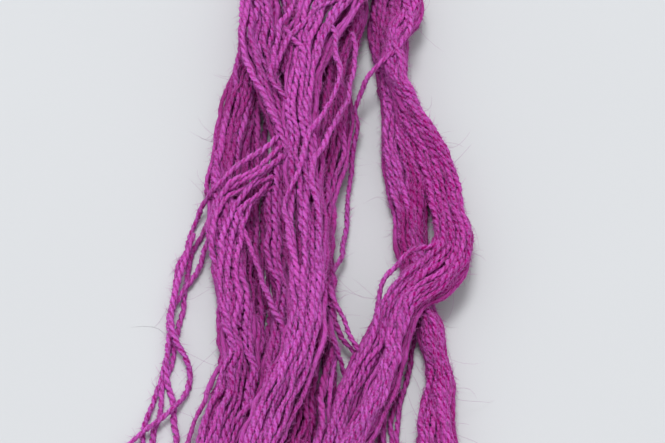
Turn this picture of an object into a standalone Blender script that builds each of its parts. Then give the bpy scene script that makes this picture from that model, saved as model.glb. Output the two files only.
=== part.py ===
"""A loose hank of two-ply wool yarn, lying on a surface with the middle of its ring pulled into locks.

The yarn is wound into one long ring of turns. Its turns lie in four locks. Each lock runs down the left
leg of the ring, round the near bend, up the right leg and round the far bend. The raised lock crosses to
the right at the far end. On the right leg, the raised and the inner lock fold over the other two. Lengths
are in millimetres in the tables and in metres in the scene. X runs across the hank, Y along it and Z up
from the surface.
"""

import math
from typing import NamedTuple

import bmesh
import bpy
from mathutils import Vector

# --- driving dimensions ---------------------------------------------------------------------------
MM = 0.001
YARN_DIAMETER = 1.0
# A section that lies on the surface dips this far below it, and is then trimmed flat.
DIP = 0.45
RING_SPACING = 4.5
SECTION_POINTS = 9
LOOSE_SECTION_POINTS = 8
# A section is a superellipse: 2 is an ellipse, and more is squarer.
SECTION_POWER = 2.3

# The two bends of the ring: their centres, and the radius at which each lock goes round.
FAR_BEND_X, FAR_BEND_Y = 9.4, 86.0
NEAR_BEND_X, NEAR_BEND_Y = 7.2, -86.0
BACK_RADIUS, NARROW_RADIUS, RAISED_RADIUS, INNER_RADIUS = 19.0, 16.0, 12.5, 9.0
BEND_STEPS = 6
BEND_WIDTH = 5.2

# --- the yarn's look ------------------------------------------------------------------------------
YARN_COLOUR = (0.36, 0.035, 0.29, 1.0)
YARN_ROUGHNESS = 0.9


class Station(NamedTuple):
    """One section of a lock: its middle, the height of its underside and top, and its width, in mm."""

    x: float
    y: float
    under: float
    top: float
    width: float


# --- the left leg, from the far end to the near end -------------------------------------------------
BACK_LOCK = (
    Station(-6.6, 58.0, 0.0, 5.0, 7.0),
    Station(-2.1, 43.0, 0.0, 4.8, 12.2),
    Station(-4.2, 33.8, 0.0, 5.0, 9.6),
    Station(-7.8, 22.7, 0.0, 5.4, 7.6),
    Station(-9.2, 12.5, 0.0, 5.8, 7.4),
    Station(-9.6, 2.5, 0.0, 5.8, 8.6),
    Station(-9.1, -7.6, 0.0, 5.8, 8.0),
    Station(-8.1, -17.6, 0.0, 5.8, 7.4),
    Station(-6.8, -26.2, 0.0, 5.6, 7.2),
    Station(-7.5, -34.6, 0.0, 5.4, 10.2),
    Station(-10.1, -42.5, 0.0, 5.2, 10.8),
    Station(-12.6, -54.0, 0.0, 5.2, 9.0),
    Station(-12.6, -69.0, 0.0, 5.2, 6.6),
)
NARROW_LOCK = (
    Station(-5.4, 56.0, 2.0, 6.6, 6.4),
    Station(-4.2, 41.0, 3.0, 8.0, 7.4),
    Station(-4.2, 32.8, 3.2, 8.4, 6.8),
    Station(-3.0, 24.6, 3.4, 8.6, 5.8),
    Station(-1.2, 17.6, 3.4, 8.5, 4.6),
    Station(-0.3, 10.8, 2.6, 8.0, 4.2),
    Station(-1.2, 3.3, 1.4, 7.0, 4.6),
    Station(-1.2, -3.2, 0.0, 6.3, 4.8),
    Station(-0.5, -11.0, 0.0, 6.0, 4.8),
    Station(0.3, -19.7, 0.0, 5.5, 4.4),
    Station(-0.6, -27.6, 0.0, 5.3, 5.0),
    Station(-2.5, -36.6, 0.0, 5.0, 5.5),
    Station(-5.4, -50.0, 0.0, 5.0, 5.4),
    Station(-8.2, -66.0, 0.0, 5.0, 5.2),
)
RAISED_LOCK = (
    Station(23.2, 72.0, 2.6, 7.6, 5.0),
    Station(22.0, 60.0, 4.8, 9.6, 5.2),
    Station(15.6, 50.0, 6.4, 10.6, 8.6),
    Station(8.8, 41.0, 6.0, 10.4, 11.4),
    Station(6.2, 34.0, 5.6, 10.6, 9.6),
    Station(4.1, 26.6, 5.4, 11.0, 7.8),
    Station(3.0, 18.3, 5.4, 11.1, 7.0),
    Station(3.4, 9.3, 5.2, 11.2, 7.2),
    Station(3.7, -0.9, 5.2, 11.5, 7.6),
    Station(4.4, -10.2, 5.2, 11.8, 7.8),
    Station(4.4, -19.2, 5.2, 12.1, 7.8),
    Station(3.4, -28.2, 5.0, 12.1, 7.8),
    Station(1.3, -35.4, 4.8, 11.7, 7.8),
    Station(-1.5, -42.3, 4.4, 11.0, 8.0),
    Station(-4.4, -52.0, 3.6, 9.8, 7.0),
    Station(-5.0, -68.0, 2.4, 7.8, 5.8),
)
INNER_LOCK = (
    Station(1.4, 74.0, 0.8, 5.4, 4.6),
    Station(3.4, 62.0, 0.6, 5.2, 4.8),
    Station(8.5, 52.0, 0.8, 5.6, 5.0),
    Station(12.4, 42.0, 1.0, 6.2, 6.6),
    Station(10.9, 35.8, 0.4, 6.4, 6.6),
    Station(9.7, 28.8, 0.0, 6.4, 7.0),
    Station(9.3, 18.0, 0.0, 6.3, 7.8),
    Station(7.8, 9.0, 0.0, 6.2, 7.8),
    Station(5.6, -1.0, 0.0, 6.2, 7.4),
    Station(5.9, -10.0, 0.0, 6.2, 7.6),
    Station(6.0, -20.0, 0.0, 6.2, 7.6),
    Station(6.0, -28.0, 0.0, 6.2, 8.2),
    Station(5.2, -36.0, 0.0, 6.2, 9.4),
    Station(4.4, -44.0, 0.0, 6.0, 10.0),
    Station(0.6, -56.0, 0.0, 5.6, 7.2),
    Station(-2.2, -70.0, 0.4, 5.4, 5.2),
)

# --- the right leg, from the near end to the far end --------------------------------------------------
RIGHT_OUTER_LOCK = (
    Station(27.4, -56.0, 0.0, 5.0, 4.8),
    Station(27.0, -40.5, 0.0, 5.2, 4.2),
    Station(26.6, -31.4, 0.0, 5.2, 4.2),
    Station(25.4, -23.2, 0.0, 5.0, 4.0),
    Station(23.7, -16.1, 0.0, 4.3, 4.0),
    Station(23.4, -8.7, 0.0, 4.1, 4.0),
    Station(23.3, -1.5, 0.0, 4.3, 4.4),
    Station(23.1, 5.8, 0.0, 4.5, 4.6),
    Station(21.7, 12.8, 0.0, 4.7, 4.0),
    Station(20.6, 19.8, 0.0, 4.9, 3.8),
    Station(19.6, 27.7, 0.0, 5.2, 3.8),
    Station(18.8, 36.0, 0.0, 5.3, 4.0),
    Station(20.4, 44.0, 0.0, 5.3, 4.2),
    Station(25.6, 62.0, 0.0, 5.2, 4.8),
)
RIGHT_INNER_LOCK = (
    Station(23.8, -58.0, 0.0, 5.0, 4.8),
    Station(24.6, -40.5, 0.0, 5.0, 4.4),
    Station(25.8, -31.4, 0.0, 5.0, 4.2),
    Station(24.6, -23.2, 0.0, 4.8, 4.0),
    Station(22.8, -16.1, 0.0, 4.1, 4.2),
    Station(21.6, -8.7, 0.0, 4.1, 4.2),
    Station(20.8, -1.5, 0.0, 4.3, 4.2),
    Station(19.4, 5.8, 0.0, 4.5, 4.4),
    Station(18.8, 12.8, 0.0, 4.7, 4.2),
    Station(18.9, 19.8, 0.0, 4.9, 4.0),
    Station(18.0, 27.7, 0.0, 5.2, 3.8),
    Station(16.9, 36.0, 0.0, 5.2, 3.8),
    Station(17.5, 44.0, 0.0, 5.0, 4.6),
    Station(22.6, 62.0, 0.0, 5.0, 4.6),
)
FOLD_OUTER_LOCK = (
    Station(18.2, -69.0, 1.2, 6.0, 4.8),
    Station(12.6, -57.0, 1.8, 6.4, 4.8),
    Station(10.4, -48.5, 2.2, 6.9, 5.0),
    Station(12.2, -44.0, 2.2, 6.9, 5.4),
    Station(14.9, -39.0, 2.0, 6.8, 5.8),
    Station(16.8, -34.0, 1.4, 6.5, 5.6),
    Station(18.2, -29.6, 1.0, 6.4, 5.0),
    Station(19.4, -25.3, 2.6, 7.5, 5.0),
    Station(21.8, -20.5, 4.2, 8.9, 5.0),
    Station(26.3, -16.3, 4.6, 9.3, 5.0),
    Station(29.9, -12.2, 3.4, 8.5, 4.6),
    Station(30.8, -5.9, 1.4, 7.2, 4.2),
    Station(29.6, 0.8, 0.0, 6.3, 4.2),
    Station(28.5, 7.4, 0.8, 6.3, 4.2),
    Station(26.0, 13.4, 2.4, 7.1, 4.2),
    Station(22.5, 19.2, 3.4, 8.2, 4.0),
    Station(20.1, 26.5, 3.8, 8.9, 4.0),
    Station(20.2, 34.5, 3.6, 8.8, 4.2),
    Station(23.1, 41.5, 2.4, 7.4, 4.4),
    Station(19.6, 48.6, 1.0, 5.9, 4.6),
    Station(12.4, 54.6, 1.8, 6.6, 4.8),
    Station(3.6, 62.0, 3.4, 8.0, 4.8),
    Station(-2.2, 72.0, 2.6, 7.2, 4.8),
)
FOLD_INNER_LOCK = (
    Station(14.4, -69.0, 0.4, 5.4, 4.8),
    Station(9.2, -57.0, 0.0, 5.2, 4.8),
    Station(7.4, -49.5, 0.0, 5.2, 4.8),
    Station(8.7, -42.5, 0.0, 5.2, 5.0),
    Station(11.1, -35.0, 0.0, 5.3, 5.0),
    Station(14.6, -27.8, 0.6, 5.9, 5.0),
    Station(17.2, -22.7, 2.6, 7.5, 4.8),
    Station(20.0, -18.3, 4.2, 8.9, 4.4),
    Station(23.3, -14.5, 4.6, 9.3, 4.6),
    Station(26.9, -10.4, 3.6, 8.5, 4.8),
    Station(28.0, -5.1, 2.2, 7.2, 4.4),
    Station(27.3, 0.9, 1.0, 6.0, 4.6),
    Station(26.0, 7.6, 1.2, 5.9, 4.4),
    Station(23.9, 13.8, 2.0, 6.3, 4.0),
    Station(21.5, 19.9, 2.6, 7.0, 4.0),
    Station(19.9, 27.3, 2.9, 7.5, 3.8),
    Station(19.9, 35.0, 2.6, 7.2, 4.0),
    Station(21.0, 43.0, 1.6, 6.2, 4.2),
    Station(21.6, 54.0, 0.6, 5.2, 4.4),
    Station(19.8, 70.0, 0.6, 5.2, 4.6),
)

# --- the loose turns: they leave the narrow lock over the back lock, and join the near bend -----------
LOOSE_TURNS = (
    Station(0.1, 17.0, 4.6, 6.4, 1.8),
    Station(-1.2, 12.0, 6.6, 8.4, 2.2),
    Station(-4.2, 8.6, 6.0, 8.0, 2.6),
    Station(-8.0, 5.6, 5.0, 7.2, 2.8),
    Station(-11.6, 3.3, 3.8, 6.0, 2.8),
    Station(-13.9, 0.9, 1.0, 3.2, 2.8),
    Station(-15.2, -2.2, 0.0, 1.4, 2.8),
    Station(-16.4, -6.8, 0.0, 1.2, 3.0),
    Station(-17.7, -12.2, 0.0, 1.2, 2.8),
    Station(-18.3, -17.2, 0.0, 1.2, 2.6),
    Station(-18.6, -22.8, 0.0, 1.2, 2.6),
    Station(-19.1, -27.8, 0.0, 1.2, 3.0),
    Station(-19.6, -33.0, 0.0, 1.2, 4.0),
    Station(-20.2, -38.3, 0.0, 1.2, 5.2),
    Station(-20.4, -44.5, 0.0, 1.2, 6.6),
    Station(-20.9, -56.0, 0.0, 1.2, 5.8),
    Station(-19.9, -70.0, 0.0, 1.3, 4.4),
    Station(-16.8, -84.0, 0.0, 1.5, 3.0),
    Station(-10.2, -96.0, 0.0, 2.2, 2.6),
    Station(-3.0, -102.6, 0.8, 3.2, 2.4),
)

# --- the low turns: they leave the fold's underside, and join the near bend ----------------------------
LOW_TURNS = (
    Station(20.4, -23.5, 2.2, 3.8, 2.2),
    Station(19.6, -29.0, 0.4, 2.6, 3.2),
    Station(17.8, -34.5, 0.0, 2.4, 5.0),
    Station(16.4, -39.5, 0.0, 2.3, 6.8),
    Station(16.2, -44.5, 0.0, 2.3, 7.4),
    Station(16.6, -51.0, 0.0, 2.5, 7.0),
    Station(17.6, -58.0, 0.0, 2.8, 6.0),
    Station(18.8, -66.0, 0.2, 3.6, 4.8),
    Station(19.2, -75.0, 1.4, 4.4, 3.4),
)
LOOSE_RING_SPACING = 3.4

# --- one turn that crosses from the right leg to the left, low in the gap between them ------------------
CROSSING_TURN = (
    Station(21.8, 43.0, 5.4, 6.8, 1.3),
    Station(22.6, 36.6, 7.9, 9.3, 1.3),
    Station(21.0, 31.6, 8.2, 9.7, 1.3),
    Station(17.8, 28.0, 7.8, 9.3, 1.3),
    Station(15.1, 25.4, 6.6, 8.0, 1.3),
    Station(13.6, 22.8, 5.0, 6.4, 1.3),
    Station(12.9, 19.5, 3.4, 4.8, 1.3),
    Station(12.5, 15.6, 2.2, 3.6, 1.3),
    Station(11.9, 10.4, 1.2, 2.6, 1.3),
    Station(11.2, 4.6, 0.6, 2.0, 1.3),
    Station(11.0, -0.4, 0.4, 1.8, 1.3),
    Station(10.5, -4.0, 0.8, 2.2, 1.3),
    Station(10.0, -7.8, 1.8, 3.2, 1.3),
    Station(8.9, -12.4, 3.6, 5.0, 1.3),
    Station(7.4, -16.4, 5.6, 7.0, 1.3),
    Station(5.6, -19.0, 6.6, 8.0, 1.3),
)

# The loose end's route in mm, from the left leg over the loose turns and back across them.
LOOSE_END_ROUTE = (
    (-15.3, -3.8, 2.35),
    (-16.1, -6.6, 2.1),
    (-16.9, -9.6, 2.05),
    (-17.7, -12.7, 2.05),
    (-18.3, -15.9, 2.05),
    (-18.7, -19.2, 2.05),
    (-18.5, -22.3, 2.0),
    (-17.4, -25.2, 2.05),
    (-15.8, -27.9, 1.35),
    (-15.3, -30.7, 0.55),
    (-16.0, -33.8, 0.8),
    (-17.6, -36.6, 1.9),
    (-20.0, -39.1, 2.05),
    (-22.7, -41.3, 2.0),
    (-25.2, -43.4, 1.25),
    (-27.4, -45.3, 0.55),
    (-29.4, -46.9, 0.52),
    (-31.6, -48.2, 0.52),
    (-33.4, -48.8, 0.52),
)
LOOSE_END_POINT_SPACING = 2.2
LOOSE_END_BEVEL_RESOLUTION = 2


def clear_scene():
    """Removes what the file opened with."""
    for obj in list(bpy.data.objects):
        bpy.data.objects.remove(obj, do_unlink=True)


def wool(name):
    """A dull dyed wool."""
    material = bpy.data.materials.new(name)
    material.use_nodes = True
    shader = material.node_tree.nodes["Principled BSDF"]
    shader.inputs["Base Color"].default_value = YARN_COLOUR
    shader.inputs["Roughness"].default_value = YARN_ROUGHNESS
    shader.inputs["Metallic"].default_value = 0.0
    return material


def bend(centre_x, centre_y, radius, first_angle, under, top):
    """The stations of a half turn, anticlockwise from first_angle in degrees."""
    stations = []
    for step in range(BEND_STEPS + 1):
        angle = math.radians(first_angle + 180.0 * step / BEND_STEPS)
        x = centre_x + radius * math.cos(angle)
        y = centre_y + radius * math.sin(angle)
        stations.append(Station(x, y, under, top, BEND_WIDTH))
    return tuple(stations)


def lock_ring(left, right, radius, under, top):
    """A lock's closed run: down the left leg, round the near bend, up the right leg, round the far bend."""
    near = bend(NEAR_BEND_X, NEAR_BEND_Y, radius, 180.0, under, top)
    far = bend(FAR_BEND_X, FAR_BEND_Y, radius, 0.0, under, top)
    return (*left, *near, *right, *far)


def crossed_ring(left, right, radius, under, top):
    """As lock_ring, for the lock whose legs have changed sides at the far bend."""
    near = bend(NEAR_BEND_X, NEAR_BEND_Y, radius, 180.0, under, top)
    far = bend(FAR_BEND_X, FAR_BEND_Y, radius, 0.0, under, top)
    return (*left, *near, *right, *reversed(far))


def catmull_rom(p0, p1, p2, p3, t):
    """A smooth value between p1 and p2, at t from 0 to 1."""
    return 0.5 * (
        2.0 * p1
        + (p2 - p0) * t
        + (2.0 * p0 - 5.0 * p1 + 4.0 * p2 - p3) * t * t
        + (3.0 * p1 - p0 - 3.0 * p2 + p3) * t * t * t
    )


def smooth_rows(rows, spacing, closed):
    """Rows at an even spacing along the smooth curve through the given rows, whose first two are x and y."""
    count = len(rows)
    spans = count if closed else count - 1
    steps = 12
    dense = []
    for i in range(spans):
        if closed:
            four = [rows[(i + k) % count] for k in (-1, 0, 1, 2)]
        else:
            four = [rows[min(max(i + k, 0), count - 1)] for k in (-1, 0, 1, 2)]
        for step in range(steps):
            t = step / steps
            dense.append([catmull_rom(a, b, c, d, t) for a, b, c, d in zip(*four)])
    dense.append(list(rows[0] if closed else rows[-1]))
    lengths = [0.0]
    for a, b in zip(dense, dense[1:]):
        lengths.append(lengths[-1] + math.dist(a[:3], b[:3]))
    pieces = max(2, round(lengths[-1] / spacing))
    result = []
    k = 0
    for i in range(pieces if closed else pieces + 1):
        wanted = lengths[-1] * i / pieces
        while k < len(dense) - 2 and lengths[k + 1] < wanted:
            k += 1
        share = (wanted - lengths[k]) / (lengths[k + 1] - lengths[k])
        result.append([a + (b - a) * share for a, b in zip(dense[k], dense[k + 1])])
    return result


def section(centre, across, up, width, height, points):
    """The corners of one superellipse section."""
    corners = []
    for i in range(points):
        angle = 2.0 * math.pi * (i + 0.5) / points
        c, s = math.cos(angle), math.sin(angle)
        reach = (abs(c) ** SECTION_POWER + abs(s) ** SECTION_POWER) ** (-1.0 / SECTION_POWER)
        corners.append(centre + across * (width / 2 * reach * c) + up * (height / 2 * reach * s))
    return corners


def sweep(name, stations, spacing, points, closed):
    """A lock's solid: sections along the smooth run through its stations, joined into one skin."""
    rows = smooth_rows(stations, spacing, closed)
    count = len(rows)
    middles = []
    heights = []
    for x, y, under, top, _ in rows:
        low = under - DIP if under < DIP / 2 else under
        middles.append(Vector((x, y, (low + top) / 2)) * MM)
        heights.append((top - low) * MM)
    form = bmesh.new()
    rings = []
    for i in range(count):
        if closed:
            along = middles[(i + 1) % count] - middles[i - 1]
        else:
            along = middles[min(i + 1, count - 1)] - middles[max(i - 1, 0)]
        across = Vector((along.y, -along.x, 0.0)).normalized()
        up = across.cross(along).normalized()
        corners = section(middles[i], across, up, rows[i][4] * MM, heights[i], points)
        rings.append([form.verts.new(corner) for corner in corners])
    for i in range(count if closed else count - 1):
        ring, following = rings[i], rings[(i + 1) % count]
        for k in range(points):
            form.faces.new((ring[k], ring[(k + 1) % points], following[(k + 1) % points], following[k]))
    if not closed:
        form.faces.new(rings[0])
        form.faces.new(rings[-1])
    bmesh.ops.recalc_face_normals(form, faces=form.faces)
    mesh = bpy.data.meshes.new(name)
    form.to_mesh(mesh)
    form.free()
    obj = bpy.data.objects.new(name, mesh)
    bpy.context.collection.objects.link(obj)
    return obj


def as_guide(obj):
    """Leaves an object out of the finished model."""
    obj.hide_render = True
    obj.display_type = "WIRE"
    return obj


def combine(obj, other, operation):
    """Joins another mesh to the object, or cuts it away."""
    modifier = obj.modifiers.new(operation.title() + "_" + other.name, "BOOLEAN")
    modifier.operation = operation
    modifier.solver = "EXACT"
    modifier.object = other


def block_below_surface():
    """A block whose top is the surface, larger than the hank."""
    half_side, depth = 0.2, 0.05
    form = bmesh.new()
    bmesh.ops.create_cube(form, size=1.0)
    bmesh.ops.scale(form, vec=(2 * half_side, 2 * half_side, depth), verts=form.verts)
    bmesh.ops.translate(form, vec=(0.0, 0.0, -depth / 2), verts=form.verts)
    mesh = bpy.data.meshes.new("surface_block")
    form.to_mesh(mesh)
    form.free()
    obj = bpy.data.objects.new("surface_block", mesh)
    bpy.context.collection.objects.link(obj)
    return as_guide(obj)


def build_hank(material):
    """The wound ring as one solid: its locks and freer turns joined, and trimmed flat where they lie."""
    hank = sweep(
        "hank",
        lock_ring(BACK_LOCK, RIGHT_OUTER_LOCK, BACK_RADIUS, 0.0, 5.2),
        RING_SPACING,
        SECTION_POINTS,
        True,
    )
    others = (
        ("narrow_lock", lock_ring(NARROW_LOCK, RIGHT_INNER_LOCK, NARROW_RADIUS, 0.0, 5.6)),
        ("raised_lock", crossed_ring(RAISED_LOCK, FOLD_OUTER_LOCK, RAISED_RADIUS, 1.4, 6.4)),
        ("inner_lock", lock_ring(INNER_LOCK, FOLD_INNER_LOCK, INNER_RADIUS, 0.6, 5.4)),
    )
    for name, stations in others:
        lock = as_guide(sweep(name, stations, RING_SPACING, SECTION_POINTS, True))
        combine(hank, lock, "UNION")
    singles = (
        ("loose_turns", LOOSE_TURNS),
        ("low_turns", LOW_TURNS),
        ("crossing_turn", CROSSING_TURN),
    )
    for name, stations in singles:
        turns = sweep(name, stations, LOOSE_RING_SPACING, LOOSE_SECTION_POINTS, False)
        combine(hank, as_guide(turns), "UNION")
    combine(hank, block_below_surface(), "DIFFERENCE")
    hank.data.materials.append(material)
    hank.data.shade_smooth()
    return hank


def build_loose_end(material):
    """The yarn's loose end, a limp strand that lies over the loose turns."""
    curve = bpy.data.curves.new("loose_end", "CURVE")
    curve.dimensions = "3D"
    curve.bevel_depth = YARN_DIAMETER / 2 * MM
    curve.bevel_resolution = LOOSE_END_BEVEL_RESOLUTION
    curve.use_fill_caps = True
    points = smooth_rows(LOOSE_END_ROUTE, LOOSE_END_POINT_SPACING, False)
    spline = curve.splines.new("POLY")
    spline.points.add(len(points) - 1)
    for point, (x, y, z) in zip(spline.points, points):
        point.co = (x * MM, y * MM, z * MM, 1.0)
    curve.materials.append(material)
    obj = bpy.data.objects.new("loose_end", curve)
    bpy.context.collection.objects.link(obj)
    return obj


def main():
    """Builds the hank and its loose end."""
    clear_scene()
    build_hank(wool("hank_wool"))
    build_loose_end(wool("loose_end_wool"))


main()
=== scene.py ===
"""The look of a loose hank of two-ply wool yarn, lying on a pale surface and seen from above its near end.

The yarn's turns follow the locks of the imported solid. Each lock is wound in three courses, and each course
is one long strand that goes round the hank many times. All strands settle on each other and on the surface.
Then every strand is built as two plies twisted together, and loose fibres stand out of them. Tables are in
millimetres, and all else is in metres. X runs across the hank, Y along it and Z up.
"""

import logging
import math
from dataclasses import dataclass, field
from enum import Enum
from typing import Sequence

import bpy
import numpy as np
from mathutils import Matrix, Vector


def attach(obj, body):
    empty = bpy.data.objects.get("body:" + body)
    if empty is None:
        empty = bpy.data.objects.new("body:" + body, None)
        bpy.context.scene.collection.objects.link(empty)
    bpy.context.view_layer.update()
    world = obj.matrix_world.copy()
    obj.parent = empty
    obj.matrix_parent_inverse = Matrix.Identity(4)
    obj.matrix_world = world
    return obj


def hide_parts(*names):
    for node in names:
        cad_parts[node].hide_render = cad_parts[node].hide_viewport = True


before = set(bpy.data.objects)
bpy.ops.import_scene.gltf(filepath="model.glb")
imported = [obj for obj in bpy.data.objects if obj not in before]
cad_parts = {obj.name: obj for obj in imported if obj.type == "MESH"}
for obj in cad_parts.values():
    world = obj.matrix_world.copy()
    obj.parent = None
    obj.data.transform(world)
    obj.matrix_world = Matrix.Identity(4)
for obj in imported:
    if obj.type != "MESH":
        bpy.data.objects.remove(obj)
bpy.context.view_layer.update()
LOG = logging.getLogger("hank")

MM = 0.001
NEARLY_ZERO = 1e-9
SEED = 20

# A point of a single strand's route in mm: x, y and z.
Spot = tuple[float, float, float]
# A section of a lock in mm: the x and y of its middle, the height of its underside and top, and its width.
Station = tuple[float, float, float, float, float]
# Red, green, blue and alpha.
Colour = tuple[float, float, float, float]

# --- the two-ply yarn ------------------------------------------------------------------------------------
# The plies as they are modelled. Their fuzz fills the rest of the diameter.
YARN_WIDTH = 0.96 * MM
YARN_THICKNESS = 0.74 * MM
TWIST_LENGTH = 3.65 * MM
# Strands lie this far apart: where a lock is narrow its soft turns press together.
LOOSEST_LYING, TIGHTEST_LYING = 0.86 * MM, 0.54 * MM
# Their middles stay this high over the surface, and about this far inside the sides and top of their lock.
LYING_HEIGHT = 0.42 * MM
SIDE_INSET, TOP_INSET = 0.75 * YARN_WIDTH, 0.5 * YARN_WIDTH
# No ply and no loose fibre comes nearer to the surface than this.
YARN_CLEAR, FIBRE_CLEAR = 0.01 * MM, 0.02 * MM
POINT_SPACING = 1.0 * MM
# How long one swing of each unevenness is.
WANDER_SWING, SHARED_CRIMP_SWING, OWN_CRIMP_SWING = 55 * MM, 9 * MM, 6 * MM
WIDTH_SWING, FINE_WIDTH_SWING, TWIST_SWING = 12 * MM, 5 * MM, 25 * MM
# The attributes that the yarn's material reads.
STRAND_PLACE = "strand"
OPEN_SKY = "open_sky"
LOOSE_END_PIECE = "loose_end_yarn"

# --- the hank, as in the part's source -------------------------------------------------------------------
# A section that rests on the surface reaches this far below it, where the solid is trimmed flat.
DIP = 0.45 * MM
# A section is a superellipse: 2 is an ellipse, and more is squarer.
SECTION_POWER = 2.3
# The middles of the bends, how far each lock stays from them, and what all bends share.
FAR_BEND_X, FAR_BEND_Y = 9.4, 86.0
NEAR_BEND_X, NEAR_BEND_Y = 7.2, -86.0
BACK_RADIUS, NARROW_RADIUS, RAISED_RADIUS, INNER_RADIUS = 19.0, 16.0, 12.5, 9.0
BEND_STEPS = 6
BEND_WIDTH = 5.2

# The locks' sections down the left leg.
BACK_LOCK = (
    (-6.6, 58.0, 0.0, 5.0, 7.0), (-2.1, 43.0, 0.0, 4.8, 12.2), (-4.2, 33.8, 0.0, 5.0, 9.6),
    (-7.8, 22.7, 0.0, 5.4, 7.6), (-9.2, 12.5, 0.0, 5.8, 7.4), (-9.6, 2.5, 0.0, 5.8, 8.6),
    (-9.1, -7.6, 0.0, 5.8, 8.0), (-8.1, -17.6, 0.0, 5.8, 7.4), (-6.8, -26.2, 0.0, 5.6, 7.2),
    (-7.5, -34.6, 0.0, 5.4, 10.2), (-10.1, -42.5, 0.0, 5.2, 10.8), (-12.6, -54.0, 0.0, 5.2, 9.0),
    (-12.6, -69.0, 0.0, 5.2, 6.6),
)
NARROW_LOCK = (
    (-5.4, 56.0, 2.0, 6.6, 6.4), (-4.2, 41.0, 3.0, 8.0, 7.4), (-4.2, 32.8, 3.2, 8.4, 6.8),
    (-3.0, 24.6, 3.4, 8.6, 5.8), (-1.2, 17.6, 3.4, 8.5, 4.6), (-0.3, 10.8, 2.6, 8.0, 4.2),
    (-1.2, 3.3, 1.4, 7.0, 4.6), (-1.2, -3.2, 0.0, 6.3, 4.8), (-0.5, -11.0, 0.0, 6.0, 4.8),
    (0.3, -19.7, 0.0, 5.5, 4.4), (-0.6, -27.6, 0.0, 5.3, 5.0), (-2.5, -36.6, 0.0, 5.0, 5.5),
    (-5.4, -50.0, 0.0, 5.0, 5.4), (-8.2, -66.0, 0.0, 5.0, 5.2),
)
RAISED_LOCK = (
    (23.2, 72.0, 2.6, 7.6, 5.0), (22.0, 60.0, 4.8, 9.6, 5.2), (15.6, 50.0, 6.4, 10.6, 8.6),
    (8.8, 41.0, 6.0, 10.4, 11.4), (6.2, 34.0, 5.6, 10.6, 9.6), (4.1, 26.6, 5.4, 11.0, 7.8),
    (3.0, 18.3, 5.4, 11.1, 7.0), (3.4, 9.3, 5.2, 11.2, 7.2), (3.7, -0.9, 5.2, 11.5, 7.6),
    (4.4, -10.2, 5.2, 11.8, 7.8), (4.4, -19.2, 5.2, 12.1, 7.8), (3.4, -28.2, 5.0, 12.1, 7.8),
    (1.3, -35.4, 4.8, 11.7, 7.8), (-1.5, -42.3, 4.4, 11.0, 8.0), (-4.4, -52.0, 3.6, 9.8, 7.0),
    (-5.0, -68.0, 2.4, 7.8, 5.8),
)
INNER_LOCK = (
    (1.4, 74.0, 0.8, 5.4, 4.6), (3.4, 62.0, 0.6, 5.2, 4.8), (8.5, 52.0, 0.8, 5.6, 5.0),
    (12.4, 42.0, 1.0, 6.2, 6.6), (10.9, 35.8, 0.4, 6.4, 6.6), (9.7, 28.8, 0.0, 6.4, 7.0),
    (9.3, 18.0, 0.0, 6.3, 7.8), (7.8, 9.0, 0.0, 6.2, 7.8), (5.6, -1.0, 0.0, 6.2, 7.4),
    (5.9, -10.0, 0.0, 6.2, 7.6), (6.0, -20.0, 0.0, 6.2, 7.6), (6.0, -28.0, 0.0, 6.2, 8.2),
    (5.2, -36.0, 0.0, 6.2, 9.4), (4.4, -44.0, 0.0, 6.0, 10.0), (0.6, -56.0, 0.0, 5.6, 7.2),
    (-2.2, -70.0, 0.4, 5.4, 5.2),
)

# The locks' sections up the right leg, where two of them fold over the other two.
RIGHT_OUTER_LOCK = (
    (27.4, -56.0, 0.0, 5.0, 4.8), (27.0, -40.5, 0.0, 5.2, 4.2), (26.6, -31.4, 0.0, 5.2, 4.2),
    (25.4, -23.2, 0.0, 5.0, 4.0), (23.7, -16.1, 0.0, 4.3, 4.0), (23.4, -8.7, 0.0, 4.1, 4.0),
    (23.3, -1.5, 0.0, 4.3, 4.4), (23.1, 5.8, 0.0, 4.5, 4.6), (21.7, 12.8, 0.0, 4.7, 4.0),
    (20.6, 19.8, 0.0, 4.9, 3.8), (19.6, 27.7, 0.0, 5.2, 3.8), (18.8, 36.0, 0.0, 5.3, 4.0),
    (20.4, 44.0, 0.0, 5.3, 4.2), (25.6, 62.0, 0.0, 5.2, 4.8),
)
RIGHT_INNER_LOCK = (
    (23.8, -58.0, 0.0, 5.0, 4.8), (24.6, -40.5, 0.0, 5.0, 4.4), (25.8, -31.4, 0.0, 5.0, 4.2),
    (24.6, -23.2, 0.0, 4.8, 4.0), (22.8, -16.1, 0.0, 4.1, 4.2), (21.6, -8.7, 0.0, 4.1, 4.2),
    (20.8, -1.5, 0.0, 4.3, 4.2), (19.4, 5.8, 0.0, 4.5, 4.4), (18.8, 12.8, 0.0, 4.7, 4.2),
    (18.9, 19.8, 0.0, 4.9, 4.0), (18.0, 27.7, 0.0, 5.2, 3.8), (16.9, 36.0, 0.0, 5.2, 3.8),
    (17.5, 44.0, 0.0, 5.0, 4.6), (22.6, 62.0, 0.0, 5.0, 4.6),
)
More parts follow.
